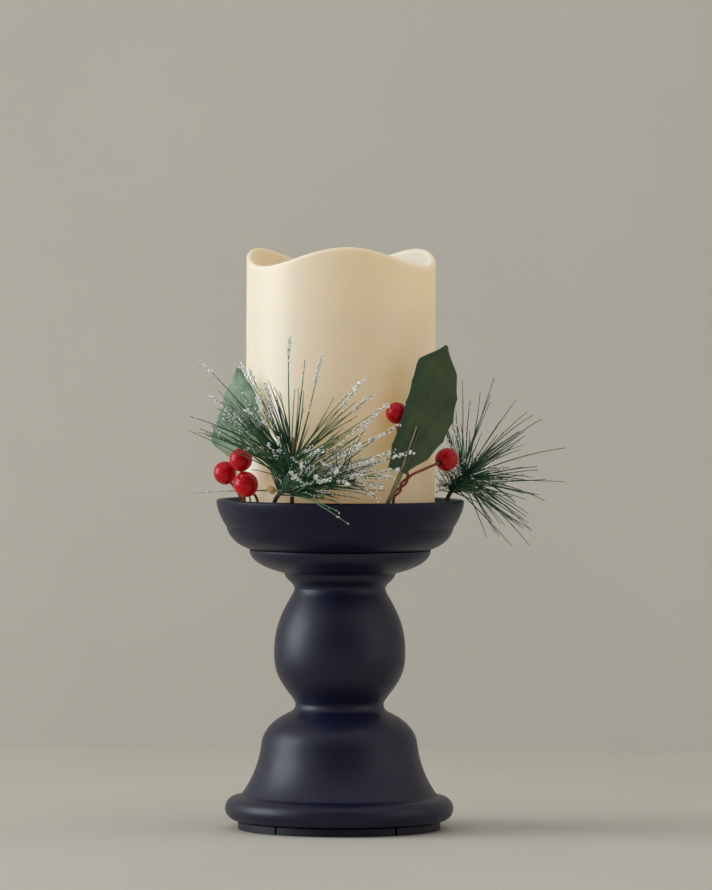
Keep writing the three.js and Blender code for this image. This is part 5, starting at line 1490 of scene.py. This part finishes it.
# %% Tips in the photograph
UPRIGHT_TIPS = [
    (201, 362, -46, 0.8), (212, 396, -48, 0.7), (190, 417, -46, 0.2), (189, 431, -46, 0.1),
    (206, 436, -46, 0.1), (240, 365, -52, 0.7), (250, 372, -54, 0.9), (264, 385, -58, 0.9),
    (256, 396, -60, 0.9), (289, 337, -54, 0.7), (305, 360, -58, 0.5), (321, 356, -56, 0.8),
    (280, 392, -62, 0.2), (295, 390, -60, 0.2), (270, 400, -62, 0.6), (246, 410, -60, 0.6),
    (228, 420, -58, 0.3), (216, 436, -56, 0.2), (222, 405, -50, 0.4), (334, 398, -60, 0.2),
    (312, 402, -62, 0.2), (345, 410, -58, 0.2), (262, 420, -66, 0.5), (365, 379, -56, 0.8),
    (358, 388, -58, 0.8), (374, 394, -56, 0.7), (389, 405, -56, 0.9), (380, 414, -60, 0.6),
    (341, 513, -64, 0.2), (350, 525, -64, 0.2),
]
SWEEP_TIPS = [
    (322, 462, -70, 1.0), (330, 480, -72, 1.0), (338, 470, -72, 1.0), (350, 486, -70, 1.0),
    (316, 478, -68, 1.0), (401, 424, -57, 1.0), (390, 432, -60, 1.0), (414, 452, -58, 1.0),
    (398, 450, -62, 1.0), (400, 469, -60, 1.0), (395, 479, -62, 1.0), (380, 500, -62, 0.8),
    (193, 494, -2, 0.4), (384, 488, -66, 0.9), (370, 420, -60, 0.8), (356, 430, -66, 0.8),
    (362, 444, -70, 1.0), (376, 460, -70, 1.0), (368, 478, -72, 1.0),
]
RIGHT_TIPS = [
    (462, 380, -4, 0.1), (494, 377, 4, 0.3), (480, 392, 0, 0.2), (516, 399, 2, 0.3), (527, 411, 6, 0.2),
    (524, 444, 8, 0.1), (566, 447, 6, 0.2), (564, 481, 10, 0.1), (537, 466, 0, 0.1), (532, 530, 4, 0.1),
    (512, 545, 2, 0.1), (487, 537, -2, 0.1), (531, 546, 12, 0.1), (505, 525, 16, 0.1), (545, 500, 14, 0.1),
    (440, 468, 2, 0.9), (439, 480, 0, 0.9), (442, 490, 0, 0.9), (437, 486, 4, 0.9), (441, 474, 6, 0.9),
    (470, 400, -10, 0.4), (452, 425, -14, 0.7), (448, 440, -16, 0.8), (456, 410, -12, 0.6),
    (500, 420, 14, 0.1),
]
print("tips seen:", len(UPRIGHT_TIPS), len(SWEEP_TIPS), len(RIGHT_TIPS))

# %% [markdown]
# ### The fans of each sprig
# A row holds the angles of a fan, its depths (minus is towards the camera), the lengths of its needles,
# where on the stem they start, their number, how many have frost and how much, and their tints. The fans
# with large depths come towards the viewer or go back, so that the sprigs are full from the sides too.

# %% Three sprigs
PLAIN = ((0.25, 0.4), (0.0, 0.4))
UPRIGHT_FANS = [
    ((128, 168), (-0.6, 0.2), (30, 46), (0.0, 1.0), 44, (0.25, 0.8), (0.0, 0.7)),
    ((98, 126), (-0.55, 0.1), (26, 42), (0.2, 1.0), 26, (0.35, 0.9), (0.0, 0.6)),
    ((66, 94), (-0.5, 0.05), (20, 34), (0.4, 1.0), 5, (0.2, 0.6), (0.4, 0.9)),
    ((28, 58), (-0.4, 0.1), (28, 44), (0.2, 1.0), 22, (0.25, 0.9), (0.3, 1.0)),
    ((20, 165), (-2.6, -0.8), (32, 50), (0.0, 0.9), 30, (0.3, 0.8), (0.0, 0.7)),
]
SWEEP_FANS = [
    ((4, 30), (-0.5, 0.3), (16, 34), (0.0, 0.7), 34, (0.7, 0.7), (0.1, 0.7)),
    ((-12, 6), (-0.5, 0.2), (16, 34), (0.0, 0.8), 30, (0.4, 0.6), (0.0, 0.5)),
    ((28, 60), (-0.5, 0.2), (12, 24), (0.0, 0.5), 18, (0.4, 0.6), (0.2, 0.9)),
    ((10, 110), (-0.9, -0.1), (9, 16), (0.0, 0.5), 22, (0.4, 0.7), (0.0, 0.5)),
    ((0, 150), (-2.6, -0.8), (24, 38), (0.0, 0.9), 26, (0.5, 0.7), (0.1, 0.7)),
]
RIGHT_FANS = [
    ((60, 116), (-0.9, 0.9), (22, 42), (0.1, 1.0), 16, *PLAIN),
    ((24, 56), (-0.9, 0.9), (22, 42), (0.1, 1.0), 16, *PLAIN),
    ((-10, 18), (-0.9, 0.9), (22, 42), (0.3, 1.0), 14, *PLAIN),
    ((-70, -28), (-0.7, 0.8), (20, 38), (0.6, 1.0), 16, (0.15, 0.4), (0.0, 0.4)),
    ((70, 200), (-1.2, 0.4), (6, 15), (0.0, 0.6), 30, (0.8, 0.8), (0.0, 0.3)),
    ((-50, 60), (-1.2, 0.4), (6, 14), (0.0, 0.5), 18, (0.7, 0.7), (0.0, 0.3)),
    ((-40, 110), (0.9, 2.6), (28, 44), (0.1, 1.0), 26, *PLAIN),
    ((-40, 110), (-2.6, -0.9), (28, 44), (0.1, 1.0), 18, *PLAIN),
]
sweep_way = [above(-36, 5.6, 1), above(-24, 12, 5), above(-8, 11.5, 7.5), above(7, 10, 8.6)]
upright = flowing(rooted(-29) + [above(-26, 5.4, 1), above(-25, 8, 9), above(-23.5, 9, 17)], 12)
sweep = flowing(rooted(-40.5) + sweep_way, 12)
right = flowing(rooted(95) + [above(96, 5.6, 1), above(97, 9.5, 6), above(98, 13.5, 10)], 12)
adopt(sprig("upright_pine", upright, UPRIGHT_TIPS, UPRIGHT_FANS, lowest=-3, furthest=30,
            frost_from=0.66, heavy=1.5, thick=0.34, seed=11), "pine", "pine_sprig_upright")
adopt(sprig("sweep_pine", sweep, SWEEP_TIPS, SWEEP_FANS, lowest=-1, furthest=19,
            frost_from=0.4, heavy=0.85, thick=0.32, seed=23), "pine", "pine_sprig_sweep")
adopt(sprig("right_pine", right, RIGHT_TIPS, RIGHT_FANS, lowest=-22, furthest=99,
            frost_from=0.4, heavy=0.8, thick=0.32, seed=37), "pine", "pine_sprig_right")

# %% [markdown]
# ## Twigs and the hoop
# Two bare twig ends show among the needles, and a wrapped wire hoop lies in the trough under it all.
# A twig is a short wire whose skin is roughened along its length: each vertex moves in or out by a slow
# wave, for the knots, and a little chance, for the bark. The hoop is one closed wire.

# %% Twigs and the hoop
TWIG_STEPS, KNOT, KNOT_PITCH, BARK_SPREAD, TWIG_TAPER = 14, 0.10, 2.1, (-0.05, 0.05), 0.15
HOOP_STEPS, HOOP_RADIUS, HOOP_WIRE, HOOP_LIFT = 180, 38.95, 0.75, 1.1


def twig(name, start, way, length, radius, seed):
    chance = random.Random(seed)
    axis = way.normalized()
    points = [start + axis * length * i / TWIG_STEPS for i in range(TWIG_STEPS + 1)]
    piece = wire(name, points, radius, TWIG, sides=20)
    for vertex in piece.data.vertices:
        along = (vertex.co / MM - start).dot(axis)
        middle = start + axis * along
        knot = 1 + KNOT * math.sin(KNOT_PITCH * along + seed)
        bumpy = knot + chance.uniform(*BARK_SPREAD) - TWIG_TAPER * along / length
        vertex.co = (middle + (vertex.co / MM - middle) * bumpy) * MM
    return piece


tip_way = (upright[-1] - upright[-2]).normalized()
adopt(twig("cut_twig_upper", upright[-1] + tip_way * 0.6, tip_way, 8, 1.2, 3), "twig", "twig_upper")
adopt(twig("cut_twig_lower", LOWER_TWIG, Vector((-0.2, -1, 0.25)), 5, 1.4, 5), "twig", "twig_lower")
hoop = [around(360 * i / HOOP_STEPS, HOOP_RADIUS, FLOOR + HOOP_LIFT) for i in range(HOOP_STEPS)]
adopt(wire("wreath_hoop", hoop, HOOP_WIRE, WREATH, True), "wreath", "wreath_wire")

# %% [markdown]
# ## Hidden solids
# The pieces inside the base and the candle keep their CAD shape, because nobody sees them unless the
# model is taken apart. They still get their own materials.

# %% Hidden solids
HIDDEN = {
    IVORY: ["candle_base"], RESIST: ["timer_board", "led_board"], CHIP: ["timer_chip", "switch_body"],
    STEEL: ["board_screw_1", "board_screw_2", "candle_screw_1", "candle_screw_2", "candle_screw_3"],
    RED_LEAD: ["battery_lead_positive", "lamp_lead_positive"],
    BLACK_LEAD: ["battery_lead_negative", "lamp_lead_negative"],
}
for material, names in HIDDEN.items():
    for name in names:
        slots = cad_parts[name].data.materials
        slots.clear()
        slots.append(material)
    print(material.name, "on", ", ".join(names))
